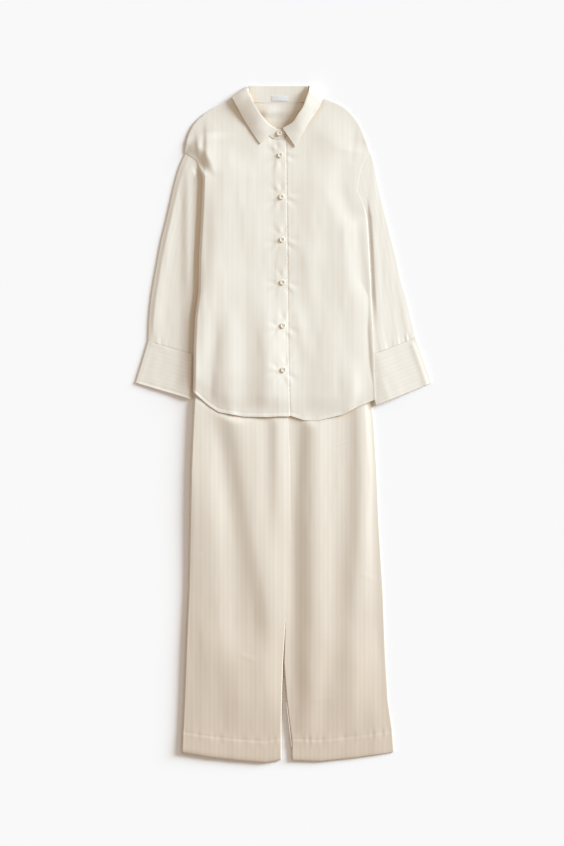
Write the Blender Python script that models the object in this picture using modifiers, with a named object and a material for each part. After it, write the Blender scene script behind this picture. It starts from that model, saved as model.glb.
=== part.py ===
"""A striped satin pyjama set laid flat: a button-front shirt over wide trousers.

The frame is +X to the right, +Y towards the collar and +Z up from the surface that the
set lies on. Sizes are in millimetres and become metres as each mesh is placed. The
wearer's right side is at -X, because the set lies face up.
"""

import collections
import math

import bmesh
import bpy

MM = 0.001

# Walls and gaps
CLOTH = 1.2
PLACKET_WALL = 1.6
CUFF_WALL = 1.6
COLLAR_WALL = 1.4
LABEL_WALL = 1.0
GAP = 0.3
LAY = 0.5  # how far one layer lies above what carries it

# Heights
SLEEVE_HEIGHT = 6.2
CUFF_HEIGHT = 6.8
WAISTBAND_HEIGHT = 5.6
MOST_LIFT = 3.6  # the most that a front stands off its back
TROUSER_LIFT = 2.6
SHIRT_LIFT = 3.0
EDGE_ROUND = 15.0  # how far from its edge a front is still curving down
FOLD_FADE = 20.0  # how far from its edge a front's folds reach their height
BUTTON_FRONT_LIFT = 3.6  # the right front beside the placket
UNDER_FRONT_LIFT = 1.6  # the left front under the placket

# Widths
PLACKET_WIDTH = 30.0
WAISTBAND_DEPTH = 28.0
WAIST_LEFT, WAIST_RIGHT, WAIST_TOP = -152.0, 150.0, 229.0
TROUSER_TOP = WAIST_TOP - WAISTBAND_DEPTH - GAP
SEAM = 0.35  # half of the gap between two panels that meet
BUTTON_RADIUS = 5.8
BUTTON_HEIGHT = 2.4

CREAM = (0.80, 0.76, 0.69)
CREAM_DARK = (0.74, 0.69, 0.61)
PEARL = (0.86, 0.83, 0.76)
WHITE = (0.85, 0.85, 0.84)

Edge = collections.namedtuple("Edge", "y left right")
Side = collections.namedtuple("Side", "y x")
Hem = collections.namedtuple("Hem", "x y")
Fold = collections.namedtuple("Fold", "x0 y0 x1 y1 bow width height")
Section = collections.namedtuple("Section", "out_x out_y in_x in_y bow")
Strip = collections.namedtuple("Strip", "roll_x roll_y roll_z low_x low_y low_z")

# Trousers: the outer edges, the inner leg edges and the hems
TROUSER_EDGES = [
    Edge(229, -152, 150), Edge(201, -153, 151), Edge(174, -160, 156), Edge(143, -166, 160),
    Edge(108, -179, 173), Edge(70, -192, 188), Edge(50, -197, 194), Edge(9, -199, 199),
    Edge(-103, -204, 206), Edge(-211, -206, 210), Edge(-365, -209, 219),
    Edge(-497, -215, 224), Edge(-607, -219, 230), Edge(-670, -222, 239),
    Edge(-745, -226, 245),
]
INNER_LEG_RIGHT = [
    Side(229, 9), Side(18, 10), Side(-26, 12), Side(-103, 15), Side(-240, 16),
    Side(-332, 12), Side(-436, 4), Side(-526, -1), Side(-576, -3), Side(-669, -5),
    Side(-745, -5),
]
INNER_LEG_LEFT = [
    Side(229, 9), Side(18, 10), Side(-26, 12), Side(-103, 15), Side(-240, 16),
    Side(-332, 12), Side(-436, 4), Side(-526, 1), Side(-607, 7), Side(-700, 18),
    Side(-745, 19),
]
HEM_RIGHT_LEG = [
    Hem(-226, -722), Hem(-166, -732), Hem(-105, -739), Hem(-43, -744), Hem(-5, -738),
]
HEM_LEFT_LEG = [
    Hem(19, -739), Hem(80, -741), Hem(157, -733), Hem(243, -721),
]
SPLIT_TOP = -436.0  # where the two inner leg edges part
SPLIT_BLEND = 90.0
LEG_LOW = -722.0  # the level of a leg's lowest grid row before it follows the hem
LEG_WIDTH = 205.0
LEG_LENGTH = 900.0

# Shirt: the outer edge of each front, its neckline and its hem
BODY_RIGHT = [
    Side(719, -100), Side(708, -127), Side(695, -153), Side(682, -174), Side(669, -189),
    Side(656, -200), Side(640, -208), Side(625, -213), Side(607, -216), Side(595, -217),
    Side(587, -205), Side(580, -190), Side(572, -175), Side(537, -176), Side(477, -180),
    Side(365, -186), Side(290, -187), Side(235, -194), Side(163, -197), Side(60, -198),
]
BODY_LEFT = [
    Side(719, 87), Side(712, 105), Side(704, 124), Side(695, 138), Side(686, 148),
    Side(678, 155), Side(669, 162), Side(660, 168), Side(647, 174), Side(625, 182),
    Side(605, 189), Side(594, 193), Side(572, 177), Side(541, 169), Side(515, 165),
    Side(493, 175), Side(453, 184), Side(365, 189), Side(235, 195), Side(45, 202),
]
PLACKET_RIGHT = [
    Side(625, 5), Side(493, 7), Side(119, 11), Side(14, 14),
]
HEM_SHIRT_RIGHT = [
    Hem(-198, 70), Hem(-164, 40), Hem(-142, 26), Hem(-88, 16), Hem(-34, 15), Hem(14, 18),
]
HEM_SHIRT_LEFT = [
    Hem(-20, 23), Hem(15, 18), Hem(45, 8), Hem(75, 7), Hem(132, 21), Hem(162, 37),
    Hem(202, 54),
]
SHOULDER_TOP = 714.5
SHOULDER_BLEND_TOP, SHOULDER_BLEND = 728.0, 45.0  # the fronts flatten towards the shoulder
BACK_HEM_UP = 12.0  # how far the back's hem stays hidden above the fronts'
BACK_INSET = 3.0
BACK_NECK_DROP = 8.9
BACK_NECK_HALF = 80.0
BACK_NECK_MIDDLE = -10.0
# The level of each panel's lowest grid row before it follows the hem
BACK_LOW, RIGHT_FRONT_LOW, LEFT_FRONT_LOW = 82.0, 66.0, 56.0
FRONT_LENGTH = 650.0
PLACKET_TOP, PLACKET_LOW = 620.5, 16.5
PLACKET_BLEND = 24.0  # how far beside the placket a front reaches its lift
ARMHOLE_LOW, ARMHOLE_BLEND = 430.0, 24.0  # below this the back lies on the sleeves

# The notch of the back panel round the mouth of each sleeve
ARMHOLE_RIGHT = [
    Side(600, -212), Side(590, -200), Side(578, -184), Side(566, -166), Side(548, -148),
    Side(520, -126), Side(470, -108), Side(425, -102), Side(380, -104), Side(358, -150),
    Side(336, -182),
]
ARMHOLE_LEFT = [
    Side(600, 186), Side(580, 180), Side(550, 166), Side(515, 154), Side(470, 138),
    Side(425, 118), Side(380, 118), Side(358, 150), Side(336, 184),
]

# Sleeves and cuffs: each section's outer and inner end, and how far it bows to the neck
SLEEVE_RIGHT = [
    Section(-218, 592, -113, 414, 37), Section(-230, 563, -116, 392, 27),
    Section(-240, 528, -121, 370, 18), Section(-249, 488, -127, 345, 11),
    Section(-259, 444, -133, 319, 6), Section(-270, 400, -140, 293, 3),
    Section(-278, 356, -146, 266, 0), Section(-286, 312, -154, 239, 0),
    Section(-292, 273, -161, 211, 0), Section(-296, 233, -167, 185, 0),
    Section(-297, 207, -172, 165, 0), Section(-298, 183, -175, 147, 0),
]
SLEEVE_LEFT = [
    Section(194, 591, 127, 414, 4), Section(200, 568, 129, 392, 4),
    Section(206, 537, 132, 367, 3), Section(215, 497, 136, 341, 2),
    Section(226, 453, 142, 315, 0), Section(237, 409, 147, 288, 0),
    Section(248, 365, 153, 262, 0), Section(258, 319, 157, 235, 0),
    Section(271, 275, 162, 209, 0), Section(280, 235, 165, 183, 0),
    Section(287, 209, 166, 161, 0), Section(291, 190, 167, 141, 0),
]
CUFF_RIGHT = [
    Section(-298.6, 181.6, -175.2, 145.6, 0), Section(-312, 136, -188, 100, 0),
    Section(-326, 91, -201.5, 54, 0),
]
CUFF_LEFT = [
    Section(291.6, 188.6, 168, 139.4, 0), Section(309, 140, 185, 89, 0),
    Section(326, 91, 201, 40, 0),
]

# Collar: the outer face of the stand and of the fall, from the wearer's right front end
# round the back of the neck to the left one
STAND = [
    Strip(2.5, 648, 6.2, 1.5, 624, 6.2), Strip(-15, 649, 7.0, -22, 627.5, 6.2),
    Strip(-31, 658, 9.5, -37, 637.6, 6.2), Strip(-42, 671, 11.5, -50, 648, 6.4),
    Strip(-54, 686, 13.0, -62, 661, 6.8), Strip(-64, 702, 13.0, -72, 675, 7.0),
    Strip(-71, 718, 12.5, -80, 691, 7.0), Strip(-76, 732, 9.5, -86, 704, 5.6),
    Strip(-76, 741, 5.4, -82, 710, 3.4), Strip(-70, 742.5, 2.5, -68, 707, 1.9),
    Strip(-40, 743, 1.8, -42, 706, 1.8), Strip(-10, 743, 1.8, -10, 706, 1.8),
    Strip(18, 743, 1.8, 21, 706, 1.8), Strip(46, 742.5, 2.5, 46, 707, 1.9),
    Strip(53, 741, 5.4, 60, 710, 3.4), Strip(53, 732, 9.5, 64, 704, 5.6),
    Strip(49, 716, 12.0, 58, 691, 6.6), Strip(42, 694, 12.4, 49, 675, 6.4),
    Strip(31, 678, 11.6, 38, 661, 6.0), Strip(19, 661, 9.8, 26, 648, 5.2),
    Strip(4, 648, 6.8, 13, 636.6, 4.4), Strip(-14, 646, 4.5, -17, 621, 4.3),
]
NECK_RIGHT = STAND[1:8]
NECK_LEFT = STAND[15:]
NECK_SEAM = 2.8  # the fronts' necklines stop this far from the stand
UNDER_FRONT_SHORT = 3.0  # the left front's edge stops this far inside the placket
FALL = [
    Strip(-16, 650, 11.0, -51, 615, 9.0), Strip(-31, 659, 13.0, -64, 633, 9.2),
    Strip(-43, 672, 14.2, -75, 650, 9.4), Strip(-54, 687, 15.0, -85, 666, 9.6),
    Strip(-64, 703, 15.0, -94, 682, 9.8), Strip(-72, 719, 14.6, -102, 697, 10.4),
    Strip(-78, 733, 13.6, -109, 710, 10.6), Strip(-80, 742, 8.0, -113, 718, 6.0),
    Strip(-77, 744, 1.0, -106, 717.5, 0.2), Strip(-60, 744, 0.0, -78, 704, 0.0),
    Strip(-36, 744, 0.0, -44, 697, 0.0), Strip(-11, 744, 0.0, -11, 696, 0.0),
    Strip(14, 744, 0.0, 20, 697, 0.0), Strip(38, 744, 0.0, 54, 704, 0.0),
    Strip(55, 744, 1.0, 81, 718.5, 0.2), Strip(58, 743, 8.0, 88, 719, 6.0),
    Strip(56, 734, 13.6, 84, 709, 10.6), Strip(51, 718, 14.4, 78, 695, 10.4),
    Strip(43, 696, 15.0, 68, 680, 9.6), Strip(32, 680, 14.6, 56, 662, 9.2),
    Strip(20, 663, 13.0, 42, 638, 8.8), Strip(-2, 650, 11.0, 26, 609, 8.6),
]
STAND_BACK_Z = 1.8  # the stand's underside at the back of the neck
FALL_ARCH = 0.8
LABEL_LEFT, LABEL_RIGHT, LABEL_LOW, LABEL_TOP = -26.0, 9.0, 710.0, 721.0

BUTTON_PLACES = [
    (-9, 639), (-7, 591), (-4, 499), (-3, 405), (-2, 311), (-1, 216), (0, 119),
]

# Folds: a ridge or, with a negative height, a trough, from its top to its bottom point
TROUSER_FOLDS = [
    Fold(-180, 20, -178, -760, 3, 16, 1.0), Fold(-133, 60, -66, -430, -6, 15, -1.9),
    Fold(-96, -20, -36, -420, 6, 24, 0.9), Fold(-31, 60, -28, -150, 0, 13, -1.6),
    Fold(-6, 10, -4, -420, 6, 12, 1.0), Fold(45, 60, 40, -500, 8, 15, -1.8),
    Fold(115, 20, 62, -700, 10, 24, 1.2), Fold(163, 60, 122, -560, 4, 22, -1.6),
    Fold(-120, -330, -130, -770, 0, 34, 0.7), Fold(196, 0, 200, -780, 0, 18, 0.9),
]
SHIRT_FOLDS = [
    Fold(-163, 650, -166, 60, 4, 12, 0.9), Fold(-70, 320, -56, 0, 0, 15, -1.8),
    Fold(-142, 250, -150, 0, 2, 10, -1.3), Fold(-116, 240, -116, 0, 0, 13, 0.8),
    Fold(45, 400, 62, 260, 0, 14, -1.0), Fold(14, 270, 62, 100, 0, 16, 0.6),
    Fold(118, 260, 134, 30, 3, 14, -1.3), Fold(170, 440, 184, 60, 2, 12, 0.8),
    Fold(-28, 600, -24, 60, 0, 12, 0.5), Fold(100, 640, 84, 420, 5, 26, 0.5),
]
SLEEVE_FOLDS = [
    Fold(-222, 600, -280, 160, -2, 10, 0.9), Fold(-213, 500, -262, 160, 0, 9, 0.7),
    Fold(205, 600, 282, 160, 2, 12, 0.9), Fold(186, 560, 240, 160, 0, 10, 0.8),
]


def smooth(share):
    """0 to 1 with soft ends."""
    share = min(max(share, 0.0), 1.0)
    return share * share * (3 - 2 * share)


def quarter_round(share):
    """0 to 1 along a quarter of a circle, steep at first."""
    share = min(max(share, 0.0), 1.0)
    return math.sqrt(1 - (1 - share) ** 2)


def along(table, key, value, place):
    """A column's value at a place, straight between the table's rows."""
    rows = sorted(table, key=lambda row: getattr(row, key))
    low = rows[0]
    for high in rows[1:]:
        if place <= getattr(high, key):
            break
        low = high
    start, end = getattr(low, key), getattr(high, key)
    share = min(max((place - start) / max(end - start, 1e-6), 0.0), 1.0)
    return getattr(low, value) * (1 - share) + getattr(high, value) * share


def relief(folds, x, y):
    """What the folds add at a point."""
    total = 0.0
    for fold in folds:
        share = (fold.y0 - y) / (fold.y0 - fold.y1)
        if not 0 < share < 1:
            continue
        middle = fold.x0 + (fold.x1 - fold.x0) * share + fold.bow * 4 * share * (1 - share)
        fade = smooth(share / 0.2) * smooth((1 - share) / 0.2)
        total += fold.height * fade * math.exp(-(((x - middle) / fold.width) ** 2))
    return total


def outline_of(*tables):
    """The closed outline of a sleeve's and its cuff's sections."""
    sections = [section for table in tables for section in table]
    mouth = [section_point(sections[0], share / 8) for share in range(1, 8)]
    outer = [(section.out_x, section.out_y) for section in reversed(sections)]
    return outer + mouth + [(section.in_x, section.in_y) for section in sections]


def section_point(section, share):
    """A point of a section, from its outer end (0) to its inner end (1)."""
    run_x, run_y = section.in_x - section.out_x, section.in_y - section.out_y
    length = math.hypot(run_x, run_y)
    up = 1.0 if run_x > 0 else -1.0
    bow = section.bow * 4 * share * (1 - share) / length
    return (
        section.out_x + run_x * share - run_y * bow * up,
        section.out_y + run_y * share + run_x * bow * up,
    )


def depth_inside(outline, x, y):
    """How far a point is inside a closed outline, or below 0 how far outside it."""
    nearest = 1e9
    inside = False
    for (ax, ay), (bx, by) in zip(outline, outline[1:] + outline[:1]):
        if (ay > y) != (by > y) and x < ax + (bx - ax) * (y - ay) / (by - ay):
            inside = not inside
        span = (bx - ax) ** 2 + (by - ay) ** 2
        share = min(max(((x - ax) * (bx - ax) + (y - ay) * (by - ay)) / max(span, 1e-9), 0), 1)
        nearest = min(nearest, math.hypot(x - ax - (bx - ax) * share, y - ay - (by - ay) * share))
    return nearest if inside else -nearest


RIGHT_ARM = outline_of(SLEEVE_RIGHT, CUFF_RIGHT)
LEFT_ARM = outline_of(SLEEVE_LEFT, CUFF_LEFT)
TROUSER_OUTLINE = (
    [(edge.left, edge.y) for edge in TROUSER_EDGES]
    + [(edge.right, edge.y) for edge in reversed(TROUSER_EDGES)]
)
FALL_BACK = [
    (-112, 717), (-78, 744), (56, 744), (86, 718), (54, 704), (20, 697), (-44, 697), (-78, 704),
]
ARM_TOP = CUFF_HEIGHT + LAY
TROUSER_TOP_Z = CLOTH + GAP + MOST_LIFT + CLOTH + LAY
FALL_TOP_Z = COLLAR_WALL + 2 * LAY
ARM_RAMP, TROUSER_RAMP, FALL_RAMP, FRONT_RAMP = 60.0, 90.0, 18.0, 26.0
RAMP_MARGIN = 8.0  # a ramp is already at its height this far outside the outline


def ramp(depth, run, height):
    """A height reached at an outline's edge and inside it, over a run outside it."""
    return height * smooth(1 + (depth + RAMP_MARGIN) / run)


def under_back(x, y):
    """The height of the back panel's underside."""
    arms = max(depth_inside(RIGHT_ARM, x, y), depth_inside(LEFT_ARM, x, y))
    below_armhole = smooth((ARMHOLE_LOW - y) / ARMHOLE_BLEND)
    heights = [
        ramp(arms, ARM_RAMP, ARM_TOP) * below_armhole,
        ramp(depth_inside(TROUSER_OUTLINE, x, y), TROUSER_RAMP, TROUSER_TOP_Z),
        ramp(depth_inside(FALL_BACK, x, y), FALL_RAMP, FALL_TOP_Z),
    ]
    return sum(height**6 for height in heights) ** (1 / 6)


def under_front(x, y):
    """The height that a front's underside may not go below."""
    over_back = under_back(x, y) + CLOTH + GAP
    arms = max(depth_inside(RIGHT_ARM, x, y), depth_inside(LEFT_ARM, x, y))
    return max(over_back, ramp(arms, FRONT_RAMP, SLEEVE_HEIGHT + LAY))


def make_finish(name, color, roughness):
    finish = bpy.data.materials.new(name)
    finish.use_nodes = True
    shader = finish.node_tree.nodes["Principled BSDF"]
    shader.inputs["Base Color"].default_value = (*color, 1)
    shader.inputs["Roughness"].default_value = roughness
    return finish


def add_object(name, mesh, finish):
    piece = bpy.data.objects.new(name, mesh)
    mesh.materials.append(finish)
    mesh.shade_smooth()
    COLLECTION.objects.link(piece)
    return piece


def add_wall(piece, thickness, offset):
    """Gives an open surface its cloth's thickness, to one side of it."""
    wall = piece.modifiers.new("Wall", "SOLIDIFY")
    wall.thickness = thickness * MM
    wall.offset = offset


def make_panel(name, columns, rows, place, wall, finish, offset=1):
    """A panel from a grid: place(across, down) gives each point in millimetres."""
    mesh = bpy.data.meshes.new(name)
    grid = bmesh.new()
    bmesh.ops.create_grid(grid, x_segments=columns, y_segments=rows, size=0.5)
    for vertex in grid.verts:
        across = min(max(vertex.co.x + 0.5, 0.0), 1.0)
        down = min(max(0.5 - vertex.co.y, 0.0), 1.0)
        x, y, z = place(across, down)
        vertex.co = (x * MM, y * MM, z * MM)
    grid.to_mesh(mesh)
    grid.free()
    piece = add_object(name, mesh, finish)
    add_wall(piece, wall, offset)
    return piece


def spread(share):
    """Even steps made closer towards both ends."""
    return 0.5 - 0.5 * math.cos(math.pi * share)


def make_tube(name, sections, height, wall, around, finish, folds=()):
    """A flattened tube, open at both ends, through sections of one height."""
    rows = len(sections) - 1
    mesh = bpy.data.meshes.new(name)
    grid = bmesh.new()
    bmesh.ops.create_grid(grid, x_segments=around, y_segments=rows, size=0.5)
    for vertex in grid.verts:
        turn = (vertex.co.x + 0.5) * 2
        section = sections[round((0.5 - vertex.co.y) * rows)]
        width = math.hypot(section.in_x - section.out_x, section.in_y - section.out_y)
        end = 0.5 * height / width
        over = turn < 1
        share = spread(turn if over else 2 - turn)
        x, y = section_point(section, share)
        near_end = min(share, 1 - share) / end
        rise = 0.5 * height * quarter_round(near_end)
        z = 0.5 * height + (rise if over else -rise)
        if over:
            z += relief(folds, x, y) * smooth(near_end / 4)
        vertex.co = (x * MM, y * MM, z * MM)
    bmesh.ops.remove_doubles(grid, verts=grid.verts, dist=0.01 * MM)
    bmesh.ops.recalc_face_normals(grid, faces=grid.faces)
    top = max(grid.faces, key=lambda face: face.calc_center_median().z)
    if top.normal.z < 0:
        bmesh.ops.reverse_faces(grid, faces=grid.faces)
    grid.to_mesh(mesh)
    grid.free()
    piece = add_object(name, mesh, finish)
    add_wall(piece, wall, -1)
    return piece


# Trousers


def trouser_hem(right_leg, x):
    return along(HEM_RIGHT_LEG if right_leg else HEM_LEFT_LEG, "x", "y", x)


def trouser_point(right_leg, across, down, inset):
    """A point of a leg's outline grid: rows level at the waist, along the hem below."""
    level = TROUSER_TOP + (LEG_LOW - TROUSER_TOP) * down
    inner = INNER_LEG_RIGHT if right_leg else INNER_LEG_LEFT
    seam = -SEAM if right_leg else SEAM
    outer = "left" if right_leg else "right"
    edge = along(TROUSER_EDGES, "y", outer, level) + (inset if right_leg else -inset)
    inside = along(inner, "y", "x", level) + seam
    left, right = (edge, inside) if right_leg else (inside, edge)
    x = left + (right - left) * spread(across)
    hem_drop = trouser_hem(right_leg, x) - LEG_LOW + inset
    y = level + hem_drop * smooth((down - 0.6) / 0.4)
    return x, y


def trouser_front(right_leg, across, down):
    x, y = trouser_point(right_leg, across, down, 0.0)
    from_side = spread(across if right_leg else 1 - across) * LEG_WIDTH
    inner_depth = (LEG_WIDTH - from_side) / EDGE_ROUND
    parted = smooth((SPLIT_TOP - y) / SPLIT_BLEND)
    inner_round = 1 - parted * (1 - quarter_round(inner_depth))
    hem_round = 0.55 + 0.45 * quarter_round((1 - down) * LEG_LENGTH / EDGE_ROUND)
    lift = TROUSER_LIFT * quarter_round(from_side / EDGE_ROUND) * inner_round * hem_round
    lift += relief(TROUSER_FOLDS, x, y) * smooth(from_side / FOLD_FADE) * inner_round
    return x, y, CLOTH + GAP + min(max(lift, 0.0), MOST_LIFT)


def make_trousers(finish):
    for right_leg, side in ((True, "right"), (False, "left")):
        make_panel(
            f"trouser_front_{side}", 15, 20,
            lambda across, down, leg=right_leg: trouser_front(leg, across, down), CLOTH, finish,
        )
        make_panel(
            f"trouser_back_{side}", 6, 14,
            lambda across, down, leg=right_leg: (*trouser_point(leg, across, down, 0.5), 0.0),
            CLOTH, finish,
        )
    band = [
        Section(WAIST_LEFT, WAIST_TOP - WAISTBAND_DEPTH * step / 2,
                WAIST_RIGHT, WAIST_TOP - WAISTBAND_DEPTH * step / 2, 0)
        for step in range(3)
    ]
    make_tube("waistband", band, WAISTBAND_HEIGHT, CLOTH, 20, finish)


# Shirt


def back_edges(y):
    """The left and right edges of the back panel at a height."""
    right_side = along(BODY_RIGHT, "y", "x", y) + BACK_INSET
    left_side = along(BODY_LEFT, "y", "x", y) - BACK_INSET
    if ARMHOLE_RIGHT[-1].y < y < ARMHOLE_RIGHT[0].y:
        right_side = max(right_side, along(ARMHOLE_RIGHT, "y", "x", y))
    if ARMHOLE_LEFT[-1].y < y < ARMHOLE_LEFT[0].y:
        left_side = min(left_side, along(ARMHOLE_LEFT, "y", "x", y))
    return right_side, left_side


def back_hem(x):
    right_hem = along(HEM_SHIRT_RIGHT, "x", "y", x)
    left_hem = along(HEM_SHIRT_LEFT, "x", "y", x)
    return max(right_hem, left_hem) + BACK_HEM_UP


def back_point(across, down):
    level = SHOULDER_TOP + (BACK_LOW - SHOULDER_TOP) * down
    left, right = back_edges(level)
    x = left + (right - left) * across
    neck = BACK_NECK_DROP * smooth((BACK_NECK_HALF - abs(x - BACK_NECK_MIDDLE)) / 10 + 0.5)
    y = level - neck * smooth(1 - down / 0.08)
    y += (back_hem(x) - BACK_LOW) * smooth((down - 0.75) / 0.25)
    return x, y, under_back(x, y)


def front_point(right_front, across, down):
    body = BODY_RIGHT if right_front else BODY_LEFT
    low = RIGHT_FRONT_LOW if right_front else LEFT_FRONT_LOW
    level = SHOULDER_TOP + (low - SHOULDER_TOP) * down
    outer = along(body, "y", "x", level)
    inner = along(PLACKET_RIGHT, "y", "x", level) - PLACKET_WIDTH
    inner += -GAP if right_front else UNDER_FRONT_SHORT
    neck = NECK_RIGHT if right_front else NECK_LEFT
    if level > min(strip.low_y for strip in neck):
        inner = along(neck, "low_y", "low_x", level) + (-NECK_SEAM if right_front else NECK_SEAM)
    from_side = across if right_front else 1 - across
    x = outer + (inner - outer) * spread(from_side)
    hem = along(HEM_SHIRT_RIGHT if right_front else HEM_SHIRT_LEFT, "x", "y", x)
    y = level + (hem - low) * smooth((down - 0.7) / 0.3)
    return x, y, front_height(right_front, x, y, abs(x - outer), down)


def front_height(right_front, x, y, from_edge, down):
    placket = along(PLACKET_RIGHT, "y", "x", y)
    if right_front:
        near = 1 - smooth((placket - PLACKET_WIDTH - x) / PLACKET_BLEND)
        inner_lift = BUTTON_FRONT_LIFT
    else:
        near = 1 - smooth((x - placket) / PLACKET_BLEND)
        inner_lift = UNDER_FRONT_LIFT
    fold = relief(SHIRT_FOLDS, x, y) * smooth(from_edge / FOLD_FADE)
    hem_round = 0.5 + 0.5 * quarter_round((1 - down) * FRONT_LENGTH / EDGE_ROUND)
    lift = (SHIRT_LIFT + fold) * (1 - near) * hem_round + inner_lift * near
    shoulder = smooth((SHOULDER_BLEND_TOP - y) / SHOULDER_BLEND)
    lift *= quarter_round(from_edge / EDGE_ROUND) * shoulder
    return under_front(x, y) + min(max(lift, 0.0), MOST_LIFT)


def placket_point(across, down):
    y = PLACKET_TOP + (PLACKET_LOW - PLACKET_TOP) * down
    right = along(PLACKET_RIGHT, "y", "x", y)
    x = right - PLACKET_WIDTH * (1 - across)
    return x, y, placket_height(x, y)


def placket_height(x, y):
    """The placket's underside, just above the left front that runs on below it."""
    return under_front(x, y) + UNDER_FRONT_LIFT + CLOTH + LAY + GAP


def make_shirt(finish):
    make_panel("shirt_back", 14, 22, back_point, CLOTH, finish)
    make_panel(
        "shirt_front_right", 13, 26, lambda across, down: front_point(True, across, down),
        CLOTH, finish,
    )
    make_panel(
        "shirt_front_left", 13, 26,
        lambda across, down: front_point(False, 1 - across, down), CLOTH, finish, offset=-1,
    )
    make_panel("placket", 2, 26, placket_point, PLACKET_WALL, finish)
    make_tube("sleeve_right", SLEEVE_RIGHT, SLEEVE_HEIGHT, CLOTH, 26, finish, SLEEVE_FOLDS)
    make_tube("sleeve_left", SLEEVE_LEFT, SLEEVE_HEIGHT, CLOTH, 26, finish, SLEEVE_FOLDS)
    make_tube("cuff_right", CUFF_RIGHT, CUFF_HEIGHT, CUFF_WALL, 26, finish)
    make_tube("cuff_left", CUFF_LEFT, CUFF_HEIGHT, CUFF_WALL, 26, finish)


def strip_point(strips, across, down, arch):
    """A point of a collar strip: down runs round the neck, across from roll to edge."""
    place = down * (len(strips) - 1)
    index = min(int(place), len(strips) - 2)
    share = place - index
    ends = []
    for strip in (strips[index], strips[index + 1]):
        ends.append([
            strip.roll_x + (strip.low_x - strip.roll_x) * across,
            strip.roll_y + (strip.low_y - strip.roll_y) * across,
            strip.roll_z + (strip.low_z - strip.roll_z) * across
            + arch * math.sin(math.pi * across) * smooth(strip.roll_z / 12),
        ])
    return [low * (1 - share) + high * share for low, high in zip(*ends)]


def make_collar(finish, label_finish):
    make_panel(
        "collar_stand", 3, len(STAND) - 1,
        lambda across, down: strip_point(STAND, across, down, 0.0),
        COLLAR_WALL, finish, offset=-1,
    )
    make_panel(
        "collar_fall", 5, len(FALL) - 1,
        lambda across, down: strip_point(FALL, across, down, FALL_ARCH),
        COLLAR_WALL, finish, offset=-1,
    )
    label_z = STAND_BACK_Z + COLLAR_WALL + GAP
    make_panel(
        "neck_label", 4, 2,
        lambda across, down: (
            LABEL_LEFT + (LABEL_RIGHT - LABEL_LEFT) * across,
            LABEL_TOP - (LABEL_TOP - LABEL_LOW) * down,
            label_z,
        ),
        LABEL_WALL, label_finish,
    )


def button_profile():
    """Half of a button's outline from the underside round the rim to the dished middle."""
    radius, height = BUTTON_RADIUS, BUTTON_HEIGHT
    return [
        (0.0, 0.0), (0.78 * radius, 0.0), (0.97 * radius, 0.35 * height),
        (radius, 0.6 * height), (0.93 * radius, 0.92 * height), (0.82 * radius, height),
        (0.66 * radius, 0.86 * height), (0.58 * radius, 0.62 * height), (0.0, 0.58 * height),
    ]


def make_button(index, x, y, z, finish):
    name = f"button_{index}"
    mesh = bpy.data.meshes.new(name)
    turned = bmesh.new()
    points = [turned.verts.new((px * MM, 0, pz * MM)) for px, pz in reversed(button_profile())]
    for start, end in zip(points, points[1:]):
        turned.edges.new((start, end))
    turned.to_mesh(mesh)
    turned.free()
    button = add_object(name, mesh, finish)
    button.location = (x * MM, y * MM, z * MM)
    screw = button.modifiers.new("Turned", "SCREW")
    screw.steps = screw.render_steps = 16
    screw.use_merge_vertices = True
    screw.merge_threshold = 0.00001


def make_buttons(finish):
    for index, (x, y) in enumerate(BUTTON_PLACES, start=1):
        if index == 1:
            top = STAND[0].low_z + LAY
        else:
            reach = (-BUTTON_RADIUS, 0.0, BUTTON_RADIUS)
            top = max(placket_height(x + dx, y + dy) for dx in reach for dy in reach)
            top += PLACKET_WALL
        make_button(index, x, y, top + GAP, finish)


def main():
    make_trousers(make_finish("striped satin, trousers", CREAM_DARK, 0.42))
    satin = make_finish("striped satin", CREAM, 0.42)
    make_shirt(satin)
    make_collar(satin, make_finish("white label", WHITE, 0.6))
    make_buttons(make_finish("pearl button", PEARL, 0.25))


for old in list(bpy.data.objects):
    bpy.data.objects.remove(old, do_unlink=True)
COLLECTION = bpy.data.collections.new("pyjama_set")
bpy.context.scene.collection.children.link(COLLECTION)
main()
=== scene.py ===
"""A striped satin pyjama set laid flat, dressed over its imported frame.

The frame is +X to the right, +Y towards the collar and +Z up from the surface that the set
lies on. The wearer's right is at -X, because the set lies face up. Tables and heights are in
millimetres and become metres as each mesh is placed.
"""

from __future__ import annotations

import logging
import math
from dataclasses import dataclass, field
from enum import Enum
from functools import partial
from typing import Callable, NamedTuple, Sequence

import bmesh
import bpy
import numpy as np
from mathutils import Matrix, Vector

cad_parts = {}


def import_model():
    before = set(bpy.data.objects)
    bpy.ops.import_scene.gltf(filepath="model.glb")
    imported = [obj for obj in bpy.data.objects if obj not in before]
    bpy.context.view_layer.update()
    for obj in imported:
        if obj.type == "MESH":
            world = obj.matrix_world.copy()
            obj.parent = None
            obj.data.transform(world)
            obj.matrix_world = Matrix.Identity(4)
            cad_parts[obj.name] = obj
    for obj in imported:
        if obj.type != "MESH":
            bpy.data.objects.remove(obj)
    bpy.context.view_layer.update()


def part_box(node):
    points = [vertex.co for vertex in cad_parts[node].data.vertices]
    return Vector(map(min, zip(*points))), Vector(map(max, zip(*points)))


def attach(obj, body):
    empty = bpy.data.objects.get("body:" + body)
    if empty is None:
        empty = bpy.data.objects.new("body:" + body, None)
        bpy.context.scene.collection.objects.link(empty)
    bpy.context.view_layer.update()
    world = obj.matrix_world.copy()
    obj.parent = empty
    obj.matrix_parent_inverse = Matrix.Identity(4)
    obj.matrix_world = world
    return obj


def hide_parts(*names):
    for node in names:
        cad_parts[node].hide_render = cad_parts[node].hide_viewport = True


logging.basicConfig(level=logging.INFO, format="%(name)s: %(message)s")
LOG = logging.getLogger("pyjama_set")

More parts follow.
